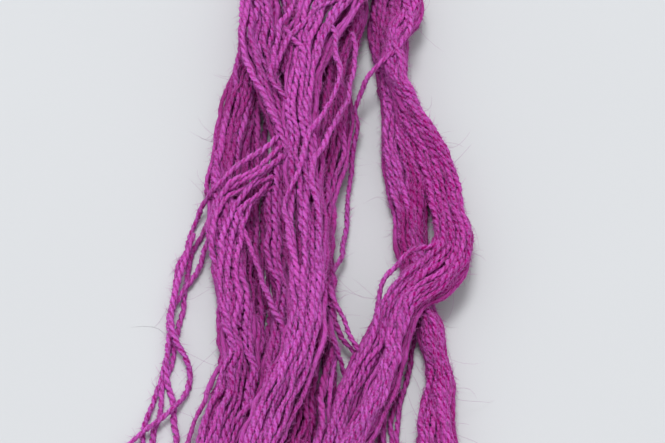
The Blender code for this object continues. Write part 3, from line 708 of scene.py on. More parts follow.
@dataclass
class Settling:
    """Lets all strands sink onto each other and onto the surface, until none lies in another.

    Attributes:
        strands: The strands, which get their new points.
        firmness: How firmly points are held in x, y and z. They may rise and sink more freely.
        push: The share of an overlap that each of two points gives way in one step.
        sink: How far a point sinks in one step.
        ease: How far a strand is smoothed in one step, from 0 to 1.
        most: The furthest that a point moves in one step.
        search_every: After how many steps the close pairs are found again.
        near: How near two points have to be to count as a pair.
        skipped: Two points of one strand are a pair only from this many points apart.
    """

    strands: Sequence[Strand]
    firmness: Sequence[float] = (1.0, 1.0, 0.4)
    push: float = 0.35
    sink: float = 0.005 * MM
    ease: float = 0.4
    most: float = 0.16 * MM
    search_every: int = 6
    near: float = 1.25 * MM
    skipped: int = 4

    def __post_init__(self) -> None:
        """Joins the strands' points, and remembers which strand each belongs to."""
        self.wanted = np.vstack([strand.points for strand in self.strands])
        sizes = [len(strand.points) for strand in self.strands]
        self.owner = np.repeat(np.arange(len(self.strands)), sizes)
        self.hold = np.repeat([strand.hold for strand in self.strands], sizes)[:, None]
        self.lying = np.concatenate([strand.lying for strand in self.strands])
        self.ends = np.cumsum(sizes)
        self.inside = np.ones(len(self.owner), bool)
        self.inside[self.ends - 1] = False
        self.inside[self.ends - sizes] = False

    def pairs(self, points: np.ndarray) -> tuple[np.ndarray, np.ndarray]:
        """Finds the points that may meet. Neighbours on one strand aren't pairs.

        Args:
            points: Where the points are now.

        Returns:
            The numbers of the first and of the second point of each pair.
        """
        first, second = close_pairs(points, self.near)
        same_strand = self.owner[first] == self.owner[second]
        apart = ~(same_strand & (np.abs(first - second) < self.skipped))
        return first[apart], second[apart]

    def pushed(self, points: np.ndarray, first: np.ndarray, second: np.ndarray) -> np.ndarray:
        """How far the points are moved by those that lie too near, and by their own weight.

        Args:
            points: Where the points are now.
            first: The first point of each pair.
            second: The second point of each pair.

        Returns:
            The move of each point, which is never longer than most.
        """
        apart = points[second] - points[first]
        distance = np.maximum(np.linalg.norm(apart, axis=1), NEARLY_ZERO)
        overlap = np.maximum(0.0, (self.lying[first] + self.lying[second]) / 2 - distance)
        shift = apart * (self.push * overlap / distance)[:, None]
        move = summed(second, shift, len(points)) - summed(first, shift, len(points))
        move[:, 2] -= self.sink
        length = np.maximum(np.linalg.norm(move, axis=1, keepdims=True), NEARLY_ZERO)
        return move * np.minimum(1.0, self.most / length)

    def run(self, rounds: int) -> None:
        """Moves the strands' points to where they come to rest.

        Args:
            rounds: How many small steps the points take.
        """
        points = self.wanted.copy()
        for step in range(rounds):
            if step % self.search_every == 0:
                first, second = self.pairs(points)
            points += self.pushed(points, first, second)
            points += self.hold * self.firmness * (self.wanted - points)
            moved = points - self.wanted
            smooth = moved.copy()
            smooth[1:-1] = (moved[:-2] + 2.0 * moved[1:-1] + moved[2:]) / 4.0
            moved[self.inside] += self.ease * (smooth - moved)[self.inside]
            points = self.wanted + moved
            points[:, 2] = np.maximum(points[:, 2], LYING_HEIGHT)
        for strand, rows in zip(self.strands, np.split(points, self.ends[:-1])):
            strand.points = rows


@dataclass
class OpenSky:
    """How much of the sky reaches each place of the hank, from a height map of the settled strands.

    Attributes:
        points: The points of all strands.
        cell: The side of one cell of the map.
        margin: How many empty cells are left on each side.
        directions: In how many directions a cell looks for higher strands.
        nearest: Where it starts to look.
        furthest: How far it looks.
        steps: At how many places it looks on the way.
        under_others: How far under the top a point may lie and still be open.
        fade: The further depth that leaves a point about a third of its share.
    """

    points: np.ndarray
    cell: float = 0.5 * MM
    margin: int = 24
    directions: int = 16
    nearest: float = 1.5 * MM
    furthest: float = 9.0 * MM
    steps: int = 8
    under_others: float = 0.6 * MM
    fade: float = 1.6 * MM

    def __post_init__(self) -> None:
        """Makes the height map of the points, and works out the open sky over each of its cells."""
        self.corner = self.points[:, :2].min(axis=0) - self.margin * self.cell
        reach = np.ptp(self.points[:, :2], axis=0) / self.cell
        self.heights = np.zeros(reach.astype(int) + 2 * self.margin + 1)
        np.maximum.at(self.heights, self.cells(self.points), self.points[:, 2])
        for axis in (0, 1):
            shifted = [np.roll(self.heights, shift, axis) for shift in (-1, 0, 1)]
            self.heights = np.max(shifted, axis=0)
        self.sky = self.open_sky()

    def cells(self, points: np.ndarray) -> tuple[np.ndarray, np.ndarray]:
        """The cells of the map that the points lie in."""
        x, y = ((points[:, :2] - self.corner) / self.cell).astype(int).T
        return x, y

    def open_sky(self) -> np.ndarray:
        """Looks from each cell in all directions.

        Returns:
            The share of the sky over each cell that no higher strand hides.
        """
        total = np.zeros(self.heights.shape)
        for angle in np.linspace(0.0, 2.0 * math.pi, self.directions, endpoint=False):
            slope = np.zeros(self.heights.shape)
            for far in np.linspace(self.nearest, self.furthest, self.steps):
                x = round(far * math.cos(angle) / self.cell)
                y = round(far * math.sin(angle) / self.cell)
                rise = np.roll(self.heights, (x, y), (0, 1)) - self.heights
                slope = np.maximum(slope, rise / far)
            total += 1.0 / (1.0 + slope**2)
        return total / self.directions

    def over(self, points: np.ndarray) -> np.ndarray:
        """Works out how open a strand lies. Others that lie on it take most of its sky.

        Args:
            points: The strand's points.

        Returns:
            The share of the sky that reaches each point, smoothed along the strand.
        """
        cells = self.cells(points)
        buried = np.maximum(0.0, self.heights[cells] - points[:, 2] - self.under_others)
        share = self.sky[cells] * np.exp(-buried / self.fade)
        padded = np.concatenate([share[:1], share, share[-1:]])
        return (padded[:-2] + padded[1:-1] + padded[2:]) / 3.0


# --- materials -------------------------------------------------------------------------------------------


class Value:
    """A shader value. Arithmetic on it adds the Math nodes."""

    def __init__(self, shade: "Shade", socket: bpy.types.NodeSocket) -> None:
        """Wraps an output socket of the material."""
        self.shade = shade
        self.socket = socket

    def _math(self, operation: str, first: "Value | float", second: "Value | float") -> "Value":
        """One Math node."""
        return self.shade.node("ShaderNodeMath", {"operation": operation}, {0: first, 1: second})

    def __add__(self, other: "Value | float") -> "Value":
        """self + other."""
        return self._math("ADD", self, other)

    def __radd__(self, other: float) -> "Value":
        """other + self."""
        return self._math("ADD", other, self)

    def __sub__(self, other: "Value | float") -> "Value":
        """self - other."""
        return self._math("SUBTRACT", self, other)

    def __rsub__(self, other: float) -> "Value":
        """other - self."""
        return self._math("SUBTRACT", other, self)

    def __mul__(self, other: "Value | float") -> "Value":
        """self * other."""
        return self._math("MULTIPLY", self, other)

    def __rmul__(self, other: float) -> "Value":
        """other * self."""
        return self._math("MULTIPLY", other, self)

    def __pow__(self, other: "Value | float") -> "Value":
        """self ** other."""
        return self._math("POWER", self, other)

    def __rpow__(self, other: float) -> "Value":
        """other ** self."""
        return self._math("POWER", other, self)


# The colour sockets of a Mix node.
MIX_FIRST, MIX_SECOND, MIX_RESULT = 6, 7, 2


class Shade:
    """A material's node tree."""

    def __init__(self, name: str) -> None:
        """Makes the material and keeps its shader.

        Args:
            name: What the material is called.
        """
        self.material = bpy.data.materials.new(name)
        self.material.use_nodes = True
        self.tree = self.material.node_tree
        self.shader = self.tree.nodes["Principled BSDF"]

    def node(
        self,
        kind: str,
        settings: dict[str, object] | None = None,
        inputs: dict[int | str, object] | None = None,
        output: int | str = 0,
    ) -> Value:
        """Adds one node.

        Args:
            kind: The node's type.
            settings: What is set on the node first.
            inputs: The values or links of its sockets.
            output: The socket that the result wraps.

        Returns:
            The wrapped output.
        """
        made = self.tree.nodes.new(kind)
        for name, value in (settings or {}).items():
            setattr(made, name, value)
        for key, value in (inputs or {}).items():
            self.feed(made.inputs[key], value)
        return Value(self, made.outputs[output])

    def feed(self, socket: bpy.types.NodeSocket, value: object) -> None:
        """Feeds one socket.

        Args:
            socket: The socket of a node or of the shader.
            value: A wrapped value, which is linked to it, or a constant, which is set on it.
        """
        if isinstance(value, Value):
            self.tree.links.new(value.socket, socket)
        else:
            socket.default_value = value

    def principled(self, **sockets: object) -> None:
        """Feeds the shader's sockets, whose names are written with _ for a space."""
        for name, value in sockets.items():
            self.feed(self.shader.inputs[name.replace("_", " ")], value)

    def parts(self, vector: Value) -> list[Value]:
        """The x, y and z of a vector."""
        return [self.node("ShaderNodeSeparateXYZ", inputs={0: vector}, output=axis) for axis in "XYZ"]

    def noise(self, dimensions: str = "3D", **inputs: object) -> Value:
        """A noise texture."""
        return self.node("ShaderNodeTexNoise", {"noise_dimensions": dimensions}, inputs)

    def ranged(self, value: Value, ends: Sequence[float], most: float = 1.0, soft: bool = False) -> Value:
        """Turns one range of values into another.

        Args:
            value: The value.
            ends: The values that become 0 and most.
            most: The largest result.
            soft: Whether the change is eased at both ends.

        Returns:
            The new value, cut to its range.
        """
        kind = "SMOOTHSTEP" if soft else "LINEAR"
        inputs = {"Value": value, "From Min": ends[0], "From Max": ends[1], "To Max": most}
        return self.node("ShaderNodeMapRange", {"interpolation_type": kind}, inputs)

    def mixed(self, factor: Value, first: Value | Colour, second: Value | Colour) -> Value:
        """The first colour where the factor is 0, and the second where it is 1."""
        inputs = {"Factor": factor, MIX_FIRST: first, MIX_SECOND: second}
        return self.node("ShaderNodeMix", {"data_type": "RGBA"}, inputs, MIX_RESULT)

    def bump(self, height: Value, strength: float, distance: float) -> Value:
        """A bump of the given height."""
        inputs = {"Strength": strength, "Distance": distance, "Height": height}
        return self.node("ShaderNodeBump", inputs=inputs)


@dataclass(frozen=True)
class DyedWool:
    """The yarn's finish: dull dyed wool with fine streaks of fibre along it, and painted shade.

    Attributes:
        shade_and_dark_streaks: The dark colour: painted shade between the plies and on the right leg, and
            the darkest streaks.
        shaded: The colour of the painted shade where other strands shut out the sky.
        violet: One colour of the uneven dye.
        magenta: The other colour of the uneven dye.
        sheen: The tint of the sheen.
        streaks_along: How many streaks follow each other in a metre of yarn.
        streaks_across: How many streaks lie side by side in a metre.
        dye_changes: How often the dye changes in a metre of yarn.
        dye_ends: The values of its noise at which the dye is all violet and all magenta.
        groove_shade_ends: Where the painted shade in the groove between the plies fades out, in shares of
            half the width.
        groove_shade_weight: How much lighter the plies' outer sides are than the painted shade between them.
        streak_weight: How much of it comes from the streaks.
        dye_weight: How much of it comes from the uneven dye.
        right_leg_shade_ends: The x from which the right leg is darkened as painted shade, and where it is
            darkest.
        right_leg_shade_by: How much lightness the painted shade takes there.
        light_ends: The lightness of the deep colour, and that of the full one.
        shading: How far the colour goes to the shaded one where no sky is seen.
    """

    shade_and_dark_streaks: Colour = (0.35, 0.001, 0.16, 1.0)
    shaded: Colour = (0.22, 0.0, 0.09, 1.0)
    violet: Colour = (0.58, 0.145, 0.575, 1.0)
    magenta: Colour = (0.61, 0.105, 0.50, 1.0)
    sheen: Colour = (1.0, 0.55, 0.95, 1.0)
    streaks_along: float = 700.0
    streaks_across: float = 3600.0
    dye_changes: float = 45.0
    dye_ends: tuple[float, float] = (0.3, 0.7)
    groove_shade_ends: tuple[float, float] = (0.50, 1.02)
    groove_shade_weight: float = 0.46
    streak_weight: float = 0.90
    dye_weight: float = 0.60
    right_leg_shade_ends: tuple[float, float] = (17.0 * MM, 26.0 * MM)
    right_leg_shade_by: float = 0.22
    light_ends: tuple[float, float] = (0.50, 1.22)
    shading: float = 0.70

    def material(self) -> bpy.types.Material:
        """Makes the material, which reads the two attributes that TwistedYarn keeps.

        Returns:
            The material.
        """
        shade = Shade("dyed_wool")
        sky = shade.node("ShaderNodeAttribute", {"attribute_name": OPEN_SKY}, output="Fac")
        strand = shade.node("ShaderNodeAttribute", {"attribute_name": STRAND_PLACE}, output="Vector")
        along, aside, above = shade.parts(strand)
        from_middle = (aside * aside + above * above) ** 0.5 * (2.0 / YARN_WIDTH)
        # Painted shade: the groove between the two plies is darker than their outer sides.
        lit_ply_crown = shade.ranged(from_middle, self.groove_shade_ends, soft=True)
        fine = self.streaks_across
        scaled = {0: along * self.streaks_along, 1: aside * fine, 2: above * fine}
        stretched = shade.node("ShaderNodeCombineXYZ", inputs=scaled)
        streaks = shade.noise(Vector=stretched, Scale=1.0, Detail=2.0)
        dye = shade.noise("1D", W=along * self.dye_changes, Scale=1.0, Detail=2.0)
        colour = shade.mixed(shade.ranged(dye, self.dye_ends), self.violet, self.magenta)
        right, _, _ = shade.parts(shade.node("ShaderNodeTexCoord", output="Object"))
        # Painted shade: the right leg gets darker from one x to the other.
        right_leg_shade = shade.ranged(right, self.right_leg_shade_ends, self.right_leg_shade_by)
        light = self.groove_shade_weight * lit_ply_crown + self.streak_weight * streaks + self.dye_weight * dye - right_leg_shade
        colour = shade.mixed(shade.ranged(light, self.light_ends), self.shade_and_dark_streaks, colour)
        # Painted shade: where other strands hide the sky, the colour goes towards the shaded one.
        colour = shade.mixed(self.shading * (1.0 - sky), colour, self.shaded)
        shade.principled(
            Base_Color=colour,
            Roughness=0.92,
            Specular_IOR_Level=0.05,
            Subsurface_Weight=0.65,
            Subsurface_Radius=(1.0, 0.25, 0.8),
            Subsurface_Scale=0.7 * MM,
            Sheen_Weight=0.05,
            Sheen_Roughness=0.45,
            Sheen_Tint=self.sheen,
            Normal=shade.bump(streaks, strength=0.45, distance=0.12 * MM),
        )
        return shade.material


@dataclass(frozen=True)
class LooseFibre:
    """The finish of the fine fibres that stand out of the yarn.

    Attributes:
        name: The material's name.
        darker: One colour of its uneven dye.
        lighter: The other colour.
    """

    name: str
    darker: Colour
    lighter: Colour

    def material(self) -> bpy.types.Material:
        """Makes the material, whose dye is uneven from fibre to fibre.

        Returns:
            The material.
        """
        shade = Shade(self.name)
        place = shade.node("ShaderNodeTexCoord", output="Object")
        colour = shade.mixed(shade.noise(Vector=place, Scale=900.0), self.darker, self.lighter)
        shade.principled(Base_Color=colour, Roughness=0.75, Specular_IOR_Level=0.08)
        return shade.material


@dataclass(frozen=True)
class PaleSurface:
    """The plain pale surface that the hank lies on.

    Attributes:
        dark: Its colour where it is darkest.
        light: Its colour where it is lightest.
    """

    dark: Colour = (0.610, 0.625, 0.640, 1.0)
    light: Colour = (0.635, 0.650, 0.665, 1.0)

    def material(self) -> bpy.types.Material:
        """Makes the material, with a faint unevenness and a fine grain.

        Returns:
            The material.
        """
        shade = Shade("pale_surface")
        place = shade.node("ShaderNodeTexCoord", output="Object")
        colour = shade.mixed(shade.noise(Vector=place, Scale=14.0), self.dark, self.light)
        grain = shade.noise(Vector=place, Scale=600.0)
        bump = shade.bump(grain, strength=0.15, distance=0.1 * MM)
        shade.principled(Base_Color=colour, Roughness=0.8, Normal=bump)
        return shade.material


# --- modelling -------------------------------------------------------------------------------------------


def deselect_all() -> None:
    """Leaves nothing selected."""
    bpy.ops.object.select_all(action="DESELECT")


def edit_mode() -> None:
    """Goes into edit mode."""
    bpy.ops.object.mode_set(mode="EDIT")


def object_mode() -> None:
    """Goes back into object mode."""
    bpy.ops.object.mode_set(mode="OBJECT")


def make_active(obj: bpy.types.Object) -> None:
    """Makes one object active, and the only selected one.

    Args:
        obj: The object.
    """
    deselect_all()
    obj.select_set(True)
    bpy.context.view_layer.objects.active = obj


def linked(name: str, data: bpy.types.ID) -> bpy.types.Object:
    """Adds an object to the scene.

    Args:
        name: What it is called.
        data: Its mesh, curve, camera or light.

    Returns:
        The new object.
    """
    obj = bpy.data.objects.new(name, data)
    bpy.context.collection.objects.link(obj)
    return obj


def apply_modifiers(obj: bpy.types.Object) -> None:
    """Applies all modifiers, in order.

    Args:
        obj: The object that has them.
    """
    make_active(obj)
    for modifier in list(obj.modifiers):
        bpy.ops.object.modifier_apply(modifier=modifier.name)


class Part(Enum):
    """What is selected in edit mode."""

    VERTICES = "VERT"
    EDGES = "EDGE"


def select_parts(obj: bpy.types.Object, part: Part, chosen: np.ndarray) -> None:
    """Selects parts of the active object, and leaves it in edit mode.

    Args:
        obj: The active object.
        part: What is selected.
        chosen: Whether each vertex or edge is.
    """
    edit_mode()
    bpy.ops.mesh.select_mode(type=part.value)
    bpy.ops.mesh.select_all(action="DESELECT")
    object_mode()
    parts = obj.data.vertices if part is Part.VERTICES else obj.data.edges
    parts.foreach_set("select", chosen)
    edit_mode()


def vertices_of(obj: bpy.types.Object) -> np.ndarray:
    """Reads where an object's vertices are.

    Args:
        obj: The object.

    Returns:
        The places, one in each row.
    """
    places = np.empty(3 * len(obj.data.vertices), np.float32)
    obj.data.vertices.foreach_get("co", places)
    return places.reshape(-1, 3).astype(float)


def move_vertices(obj: bpy.types.Object, places: np.ndarray) -> None:
    """Puts the object's vertices at new places."""
    obj.data.vertices.foreach_set("co", places.astype(np.float32).ravel())


@dataclass
class TwistedYarn:
    """Builds strands of two plies twisted together.

    Attributes:
        width: The width of both plies side by side.
        thickness: The thickness of one ply.
        waist: How thick the yarn is where the plies meet.
        twist_length: The length of one full twist.
        weld: How near the rims of two twists are when they are merged.
        uneven_width: How much the yarn's width changes along it.
        fine_share: How strong the short changes of its width are beside the long ones.
        uneven_surface: How rough its surface is.
        uneven_twist: How far its twist is ahead or behind, in radians.
        dye_start: Each strand's dye starts at a place of its own, up to this far in.
    """

    width: float = YARN_WIDTH
    thickness: float = YARN_THICKNESS
    waist: float = 0.56 * MM
    twist_length: float = TWIST_LENGTH
    weld: float = 0.01 * MM
    uneven_width: float = 0.09
    fine_share: float = 0.6
    uneven_surface: float = 0.055
    uneven_twist: float = 0.8
    dye_start: float = 50.0

    def profile(self, corners: int) -> bpy.types.Object:
        """Makes the outline of the two plies side by side, in the plane across X.

        Args:
            corners: How many corners it has: 6, or 8 with a waist between the plies.

        Returns:
            The outline, a ring of edges.
        """
        outermost = 0.9
        # The corners next to the two outermost ones stand at half the thickness.
        radius = self.thickness / 2 / math.sin(2.0 * math.pi / corners)
        deselect_all()
        bpy.ops.mesh.primitive_circle_add(
            vertices=corners, radius=radius, fill_type="NOTHING", rotation=(0.0, math.pi / 2, 0.0)
        )
        obj = bpy.context.object
        bpy.ops.object.transform_apply(location=True, rotation=True, scale=True)
        places = vertices_of(obj)
        select_parts(obj, Part.VERTICES, np.abs(places[:, 1]) > outermost * radius)
        bpy.ops.transform.resize(value=(1.0, self.width / 2 / radius, 1.0))
        select_parts(obj, Part.VERTICES, np.abs(places[:, 2]) > outermost * radius)
        bpy.ops.transform.resize(value=(1.0, 1.0, self.waist / 2 / radius))
        object_mode()
        return obj

    def twist(self, detail: Detail) -> bpy.types.Object:
        """Makes one twist of the yarn along X. It turns left-handed, as in the photo.

        Args:
            detail: How finely it is modelled.

        Returns:
            The twist, open at both ends.
        """
        corners, steps, stretch = detail.value
        obj = self.profile(corners)
        screw = obj.modifiers.new("twist", "SCREW")
        screw.axis = "X"
        screw.angle = -2.0 * math.pi
        screw.screw_offset = self.twist_length * stretch
        screw.steps = steps
        screw.render_steps = steps
        screw.use_merge_vertices = False
        screw.use_smooth_shade = True
        apply_modifiers(obj)
        return obj

    def straight(self, twist: bpy.types.Object, length: float) -> bpy.types.Object:
        """Makes a straight run of yarn.

        Args:
            twist: One twist, which is copied.
            length: How long the run is to be.

        Returns:
            The run along X, from 0 to about the length, open at both ends.
        """
        step = float(np.ptp(vertices_of(twist)[:, 0]))
        obj = linked("run", twist.data.copy())
        array = obj.modifiers.new("twists", "ARRAY")
        array.count = max(2, round(length / step))
        array.use_relative_offset = False
        array.use_constant_offset = True
        array.constant_offset_displace = (step, 0.0, 0.0)
        array.use_merge_vertices = True
        array.merge_threshold = self.weld
        apply_modifiers(obj)
        return obj

    def loosen(self, obj: bpy.types.Object, sky: np.ndarray, rng: np.random.Generator) -> None:
        """Makes the run's thickness and twist uneven, and keeps its straight places and its open sky.

        Args:
            obj: The straight run.
            sky: The share of the sky that reaches the strand, at each POINT_SPACING.
            rng: The random numbers to draw from.
        """
        places = vertices_of(obj)
        straight = places.copy()
        at = places[:, 0] / POINT_SPACING
        count = int(places[:, 0].max() / POINT_SPACING) + 2
        row = np.arange(count)
        wide = np.interp(at, row, drift(rng, count, WIDTH_SWING))
        fine = np.interp(at, row, drift(rng, count, FINE_WIDTH_SWING))
        widths = 1.0 + self.uneven_width * (wide + self.fine_share * fine)
        widths += self.uneven_surface * rng.normal(size=len(places))
        turned = self.uneven_twist * np.interp(at, row, drift(rng, count, TWIST_SWING))
        turned += rng.uniform(0.0, 2.0 * math.pi)
        straight[:, 0] += rng.uniform(0.0, self.dye_start)
        y, z = places[:, 1] * widths, places[:, 2] * widths
        places[:, 1] = y * np.cos(turned) - z * np.sin(turned)
        places[:, 2] = y * np.sin(turned) + z * np.cos(turned)
        move_vertices(obj, places)
        kept = obj.data.attributes.new(STRAND_PLACE, "FLOAT_VECTOR", "POINT")
        kept.data.foreach_set("vector", straight.astype(np.float32).ravel())
        share = np.interp(at / at.max() * (len(sky) - 1), np.arange(len(sky)), sky)
        kept = obj.data.attributes.new(OPEN_SKY, "FLOAT", "POINT")
        kept.data.foreach_set("value", share.astype(np.float32))

    def route(self, points: np.ndarray) -> bpy.types.Object:
        """Makes the curve that a run is bent along.

        Args:
            points: The points that the curve goes through.

        Returns:
            The curve.
        """
        curve = bpy.data.curves.new("route", "CURVE")
        curve.dimensions = "3D"
        curve.twist_mode = "MINIMUM"
        curve.use_path = True
        curve.use_stretch = True
        curve.use_deform_bounds = True
        spline = curve.splines.new("POLY")
        spline.points.add(len(points) - 1)
        rows = np.hstack([points, np.ones((len(points), 1))])
        spline.points.foreach_set("co", rows.astype(np.float32).ravel())
        return linked("route", curve)

    def build(
        self, twist: bpy.types.Object, strand: Strand, sky: OpenSky, rng: np.random.Generator
    ) -> bpy.types.Object:
        """Builds one strand.

        Args:
            twist: One twist, which is copied.
            strand: The strand's route and name.
            sky: The open sky over the hank.
            rng: The random numbers to draw from.

        Returns:
            The closed strand.
        """
        obj = self.straight(twist, strand.length())
        obj.name = strand.name
        self.loosen(obj, sky.over(strand.points), rng)
        route = self.route(strand.points)
        bend = obj.modifiers.new("bend", "CURVE")
        bend.object = route
        bend.deform_axis = "POS_X"
        apply_modifiers(obj)
        bpy.data.objects.remove(route, do_unlink=True)
        places = vertices_of(obj)
        places[:, 2] = np.maximum(places[:, 2], YARN_CLEAR)
        move_vertices(obj, places)
        edit_mode()
        bpy.ops.mesh.select_mode(type="EDGE")
        bpy.ops.mesh.select_all(action="SELECT")
        bpy.ops.mesh.fill_holes(sides=Detail.FINE.value[0])
        bpy.ops.mesh.normals_make_consistent(inside=False)
        object_mode()
        obj.data.shade_smooth()
        return obj


@dataclass
class FibreCoat:
    """Fine fibres that stand out of the strands.

    Attributes:
        name: What the piece is called.
        count: How many fibres it has at most.
        shortest: The length of the shortest fibre.
        longest: The length of the longest fibre.
        thickness: How thick a fibre is at its root.
        cuts: At how many places it can bend.
        curl: How much it curls.
        lean: How far it leans along the yarn.
        scatter: How far its direction strays.
        length_power: How rare the longest fibres are: 1 is as many as of any other length.
        taper: The share of its thickness that it loses on the way to its tip.
        root_reach: How far from the yarn's middle its root lies.
        open_step: How far from the yarn's middle the air is looked at, before a fibre may stand there.
        open_reach: How far from that place every strand has to be.
        open_height: How high above the surface that place has to be.
    """

    name: str
    count: int
    shortest: float
    longest: float
    thickness: float
    cuts: int
    curl: float
    lean: float
    scatter: float = 0.35
    length_power: float = 1.6
    taper: float = 0.55
    root_reach: float = 0.3 * MM
    open_step: float = 1.15 * MM
    open_reach: float = 0.80 * MM
    open_height: float = 0.2 * MM

    def fibre(self) -> tuple[np.ndarray, list[tuple[int, ...]]]:
        """Makes one straight fibre along X, 1 long and 1 thick, with a point at its tip.

        Returns:
            The vertices and the faces.
        """
        half, tip = 0.5, 0.99
        deselect_all()
        bpy.ops.mesh.primitive_cylinder_add(
            vertices=3, radius=half, depth=1.0, end_fill_type="NGON", rotation=(0.0, math.pi / 2, 0.0)
        )
        obj = bpy.context.object
        bpy.ops.transform.translate(value=(half, 0.0, 0.0))
        bpy.ops.object.transform_apply(location=True, rotation=True, scale=True)
        if self.cuts:
            ends = np.array([tuple(edge.vertices) for edge in obj.data.edges])
            long_edges = np.abs(np.diff(vertices_of(obj)[ends, 0], axis=1))[:, 0] > half
            select_parts(obj, Part.EDGES, long_edges)
            bpy.ops.mesh.subdivide(number_cuts=self.cuts)
            object_mode()
        select_parts(obj, Part.VERTICES, vertices_of(obj)[:, 0] > tip)
        bpy.ops.mesh.merge(type="CENTER")
        bpy.ops.mesh.select_all(action="SELECT")
        bpy.ops.mesh.normals_make_consistent(inside=False)
        object_mode()
        mesh = obj.data
        vertices = vertices_of(obj)
        faces = [tuple(face.vertices) for face in mesh.polygons]
        bpy.data.objects.remove(obj, do_unlink=True)
        bpy.data.meshes.remove(mesh)
        return vertices, faces

    def roots(
        self, strands: Sequence[Strand], rng: np.random.Generator
    ) -> tuple[np.ndarray, np.ndarray, np.ndarray]:
        """Chooses where fibres leave the yarn, only on the outside of the hank.

        Args:
            strands: The settled strands.
            rng: The random numbers to draw from.

        Returns:
            The roots, the directions out of the yarn, and the yarn's own directions.
        """
        tries = 6
        points = np.vstack([strand.points for strand in strands])
        along = np.vstack([strand.along() for strand in strands])
        chosen = rng.integers(0, len(points), self.count * tries)
        out = rng.normal(size=(len(chosen), 3))
        out -= along[chosen] * np.sum(out * along[chosen], axis=1, keepdims=True)
        out = unit(out)
        probes = points[chosen] + out * self.open_step
        first, second = close_pairs(np.vstack([points, probes]), self.open_reach)
        mixed = (first < len(points)) != (second < len(points))
        blocked = np.maximum(first[mixed], second[mixed]) - len(points)
        is_open = np.ones(len(chosen), bool)
        is_open[blocked] = False
        is_open &= probes[:, 2] > self.open_height
        kept = np.flatnonzero(is_open)[: self.count]
        place = points[chosen[kept]] + out[kept] * self.root_reach
        place += along[chosen[kept]] * rng.uniform(-0.5, 0.5, (len(kept), 1)) * POINT_SPACING
        return place, out[kept], along[chosen[kept]]

    def build(self, strands: Sequence[Strand], rng: np.random.Generator) -> bpy.types.Object:
        """Builds the coat as one mesh.

        Args:
            strands: The settled strands.
            rng: The random numbers to draw from.

        Returns:
            The joined fibres.
        """
        vertices, faces = self.fibre()
        # s runs from 0 at a fibre's root to 1 at its tip.
        s, across, upwards = (vertices[None, :, axis, None] for axis in range(3))
        roots, out, along = self.roots(strands, rng)
        count = len(roots)
        way = np.where(rng.random((count, 1)) < 0.5, -1.0, 1.0)
        start = unit(out + way * self.lean * along + self.scatter * rng.normal(size=(count, 3)))
        bends = rng.normal(size=(2, count, 3)) * self.curl
        bends -= start * np.sum(bends * start, axis=2, keepdims=True)
        spread = rng.random((count, 1)) ** self.length_power
        length = self.shortest + (self.longest - self.shortest) * spread
        start, length, first, second = (a[:, None] for a in (start, length, bends[0], bends[1]))
        centre = roots[:, None] + length * (start * s + first * s**2 + second * (s**3 - s**2))
        tangent = unit(start + 2.0 * first * s + second * (3.0 * s**2 - 2.0 * s))
        side = unit(np.cross(tangent, unit(rng.normal(size=(count, 1, 3)))))
        other = np.cross(tangent, side)
        thickness = self.thickness * (1.0 - self.taper * s)
        places = centre + thickness * (side * across + other * upwards)
        places[..., 2] = np.maximum(places[..., 2], FIBRE_CLEAR)
        every = [tuple(v + k * len(vertices) for v in face) for k in range(count) for face in faces]
        mesh = bpy.data.meshes.new(self.name)
        mesh.from_pydata(places.reshape(-1, 3).tolist(), [], every)
        mesh.shade_smooth()
        return linked(self.name, mesh)


# --- the hank --------------------------------------------------------------------------------------------


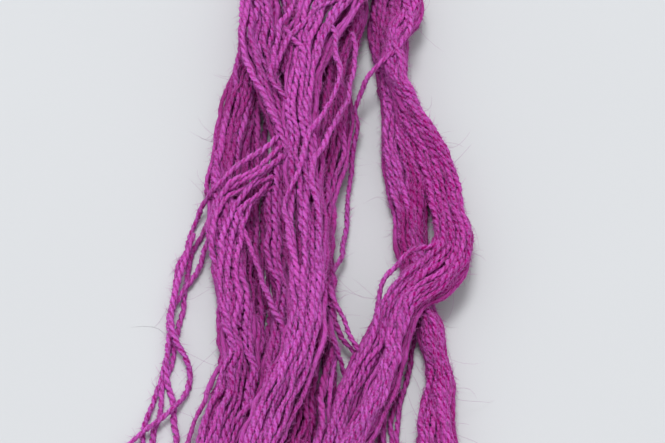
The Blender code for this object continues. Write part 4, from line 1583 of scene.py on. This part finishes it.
@dataclass
class Hank:
    """The whole hank: its locks, single strands, loose end and loose fibres.

    Attributes:
        rounds: How many steps the strands take to settle.
        heights: Where the courses of every lock lie, from its top down.
        yarn: What builds the strands.
        strands: All strands, once they are laid.
    """

    rounds: int = 66
    heights: tuple[float, float, float] = (0.8, 0.2, -0.5)
    yarn: TwistedYarn = field(default_factory=TwistedYarn)
    strands: list[Strand] = field(default_factory=list)

    def courses(self, *turns: int) -> list[Course]:
        """The courses of a lock with the turns given. Lower ones are modelled less finely."""
        return [Course(*row) for row in zip(self.heights, turns, Detail)]

    def locks(self) -> list[Lock]:
        """Lists the locks of the ring.

        Returns:
            The back, narrow, raised and inner lock.
        """
        back, narrow = self.courses(10, 10, 9), self.courses(5, 6, 5)
        raised, inner = self.courses(8, 8, 6), self.courses(7, 7, 6)
        crossed = FarBend.CROSSED
        # Each has its name, its two legs, its radius, and the height of its underside and top in the bends.
        return [
            Lock("back_lock", BACK_LOCK, RIGHT_OUTER_LOCK, BACK_RADIUS, 0.0, 5.2, back),
            Lock("narrow_lock", NARROW_LOCK, RIGHT_INNER_LOCK, NARROW_RADIUS, 0.0, 5.6, narrow),
            Lock("raised_lock", RAISED_LOCK, FOLD_OUTER_LOCK, RAISED_RADIUS, 1.4, 6.4, raised, crossed),
            Lock("inner_lock", INNER_LOCK, FOLD_INNER_LOCK, INNER_RADIUS, 0.6, 5.4, inner),
        ]

    def loose_end(self) -> Strand:
        """The loose end's route, which stays as it is in the part."""
        points = smooth_rows(LOOSE_END_ROUTE, POINT_SPACING, False)
        return Strand(LOOSE_END_PIECE, points, np.full(len(points), LOOSEST_LYING), 1.0)

    def lay(self, rng: np.random.Generator) -> None:
        """Lays all strands and lets them settle.

        Args:
            rng: The random numbers to draw from.
        """
        self.strands = [self.loose_end()]
        for lock in self.locks():
            self.strands += lock.wind(rng)
        routes = {"crossing_turn": CROSSING_TURN, **STRAYS, **LOW_TURNS, **LOOSE_TURNS}
        self.strands += Singles(routes).lay(rng)
        Settling(self.strands).run(self.rounds)

    def length(self) -> float:
        """The length of all the strands."""
        return sum(strand.length() for strand in self.strands)

    def build_yarn(self, material: bpy.types.Material, rng: np.random.Generator) -> None:
        """Builds every strand. The single ones are joined.

        Args:
            material: The yarn's finish.
            rng: The random numbers to draw from.
        """
        twists = {detail: self.yarn.twist(detail) for detail in Detail}
        sky = OpenSky(np.vstack([strand.points for strand in self.strands]))
        singles = []
        for strand in self.strands:
            obj = self.yarn.build(twists[strand.detail], strand, sky, rng)
            obj.data.materials.append(material)
            if strand.name == LOOSE_END_PIECE:
                self.declare_loose_end(obj, strand)
            elif "_lock_" in strand.name:
                self.finish(obj, "hank")
            else:
                singles.append(obj)
        make_active(singles[0])
        for obj in singles:
            obj.select_set(True)
        bpy.ops.object.join()
        singles[0].name = "single_strands"
        self.finish(singles[0], "hank")
        for twist in twists.values():
            bpy.data.objects.remove(twist, do_unlink=True)

    def declare_loose_end(self, obj: bpy.types.Object, strand: Strand) -> None:
        """Args:
            obj: The loose end's yarn.
            strand: Its settled route.
        """
        self.finish(obj, "loose_end")
        strand.length()

    def build_fibres(self, rng: np.random.Generator) -> None:
        """Adds the fibres that lie along the yarn, the short fuzz and the long hairs.

        Args:
            rng: The random numbers to draw from.
        """
        dusty = LooseFibre("loose_fibre", (0.40, 0.01, 0.28, 1.0), (0.80, 0.29, 0.73, 1.0)).material()
        dark = LooseFibre("long_hair", (0.26, 0.05, 0.22, 1.0), (0.52, 0.20, 0.48, 1.0)).material()
        # Each has its name, and the number, lengths, thickness, cuts, curl and lean of its fibres.
        coats = (
            (FibreCoat("lying_fibres", 34000, 0.8 * MM, 2.2 * MM, 0.095 * MM, 0, 0.2, 2.2), dusty),
            (FibreCoat("short_fuzz", 23000, 0.5 * MM, 1.7 * MM, 0.070 * MM, 0, 0.3, 0.7), dusty),
            (FibreCoat("long_hairs", 1100, 1.8 * MM, 8.0 * MM, 0.050 * MM, 5, 0.6, 1.0), dark),
        )
        for coat, material in coats:
            obj = coat.build(self.strands, rng)
            obj.data.materials.append(material)
            self.finish(obj, "hank")

    @staticmethod
    def finish(obj: bpy.types.Object, node: str) -> None:
        """Rides the piece on the frame in place of a node, and reports it.

        Args:
            obj: The finished piece.
            node: The CAD node that it stands for.
        """
        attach(obj, "root")
        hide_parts(node)
        triangles = sum(len(face.vertices) - 2 for face in obj.data.polygons)
        LOG.info("%s: %d triangles, stands for %s", obj.name, triangles, node)


# --- the studio ------------------------------------------------------------------------------------------


@dataclass(frozen=True)
class Studio:
    """The camera, the lights and the surface.

    Attributes:
        target: What the camera looks at.
        elevation: How steeply it looks down, in degrees.
        distance: How far it is from its target.
        view_width: The width that it shows at its target, which is what the photo shows.
        sensor: The width of its sensor, in mm.
        nearest: How near it still sees things.
        key_place: Where the key light is.
        key_size: The side of the key light's square.
        key_power: The key light's power, in watts.
        fill: The colour of the even light from all round.
        fill_strength: The strength of that light.
        surface_size: The side of the surface.
    """

    target: Vector = Vector((0.0086, 0.0, 0.0))
    elevation: float = 60.0
    distance: float = 0.45
    view_width: float = 0.11565
    sensor: float = 36.0
    nearest: float = 0.01
    key_place: tuple[float, float, float] = (-0.10, 0.38, 1.96)
    key_size: float = 0.70
    key_power: float = 22.0
    fill: Colour = (0.97, 0.98, 1.0, 1.0)
    fill_strength: float = 0.68
    surface_size: float = 3.0

    def camera(self) -> None:
        """The camera, above the near end of the hank."""
        data = bpy.data.cameras.new("camera")
        data.sensor_width = self.sensor
        data.lens = self.sensor * self.distance / self.view_width
        data.clip_start = self.nearest
        obj = linked("camera", data)
        angle = math.radians(self.elevation)
        back = Vector((0.0, -math.cos(angle), math.sin(angle)))
        obj.location = self.target + back * self.distance
        obj.rotation_euler = (math.radians(90.0 - self.elevation), 0.0, 0.0)
        bpy.context.scene.camera = obj

    def lights(self) -> None:
        """A high key light a little behind the hank, and an even fill from all round."""
        data = bpy.data.lights.new("key", "AREA")
        data.size = self.key_size
        data.energy = self.key_power
        obj = linked("key", data)
        obj.location = self.key_place
        obj.rotation_euler = (-Vector(self.key_place)).to_track_quat("-Z", "Y").to_euler()
        world = bpy.data.worlds.new("studio")
        world.use_nodes = True
        background = world.node_tree.nodes["Background"]
        background.inputs["Color"].default_value = self.fill
        background.inputs["Strength"].default_value = self.fill_strength
        bpy.context.scene.world = world
        bpy.context.scene.view_settings.view_transform = "Standard"

    def surface(self, material: bpy.types.Material) -> None:
        """Lays the pale surface under the hank.

        Args:
            material: Its finish.
        """
        deselect_all()
        bpy.ops.mesh.primitive_plane_add(size=self.surface_size, location=(0.0, 0.0, 0.0))
        obj = bpy.context.object
        obj.name = "surface"
        obj.data.materials.append(material)


def main() -> None:
    """Builds the studio and the hank in order."""
    logging.basicConfig(level=logging.INFO, format="%(name)s: %(message)s")
    studio = Studio()
    studio.camera()
    rng = np.random.default_rng(SEED)
    hank = Hank()
    hank.lay(rng)
    LOG.info("strands laid: %d, %.1f m of yarn", len(hank.strands), hank.length())
    hank.build_yarn(DyedWool().material(), rng)
    hank.build_fibres(rng)
    studio.lights()
    studio.surface(PaleSurface().material())


if __name__ == "__main__":
    main()
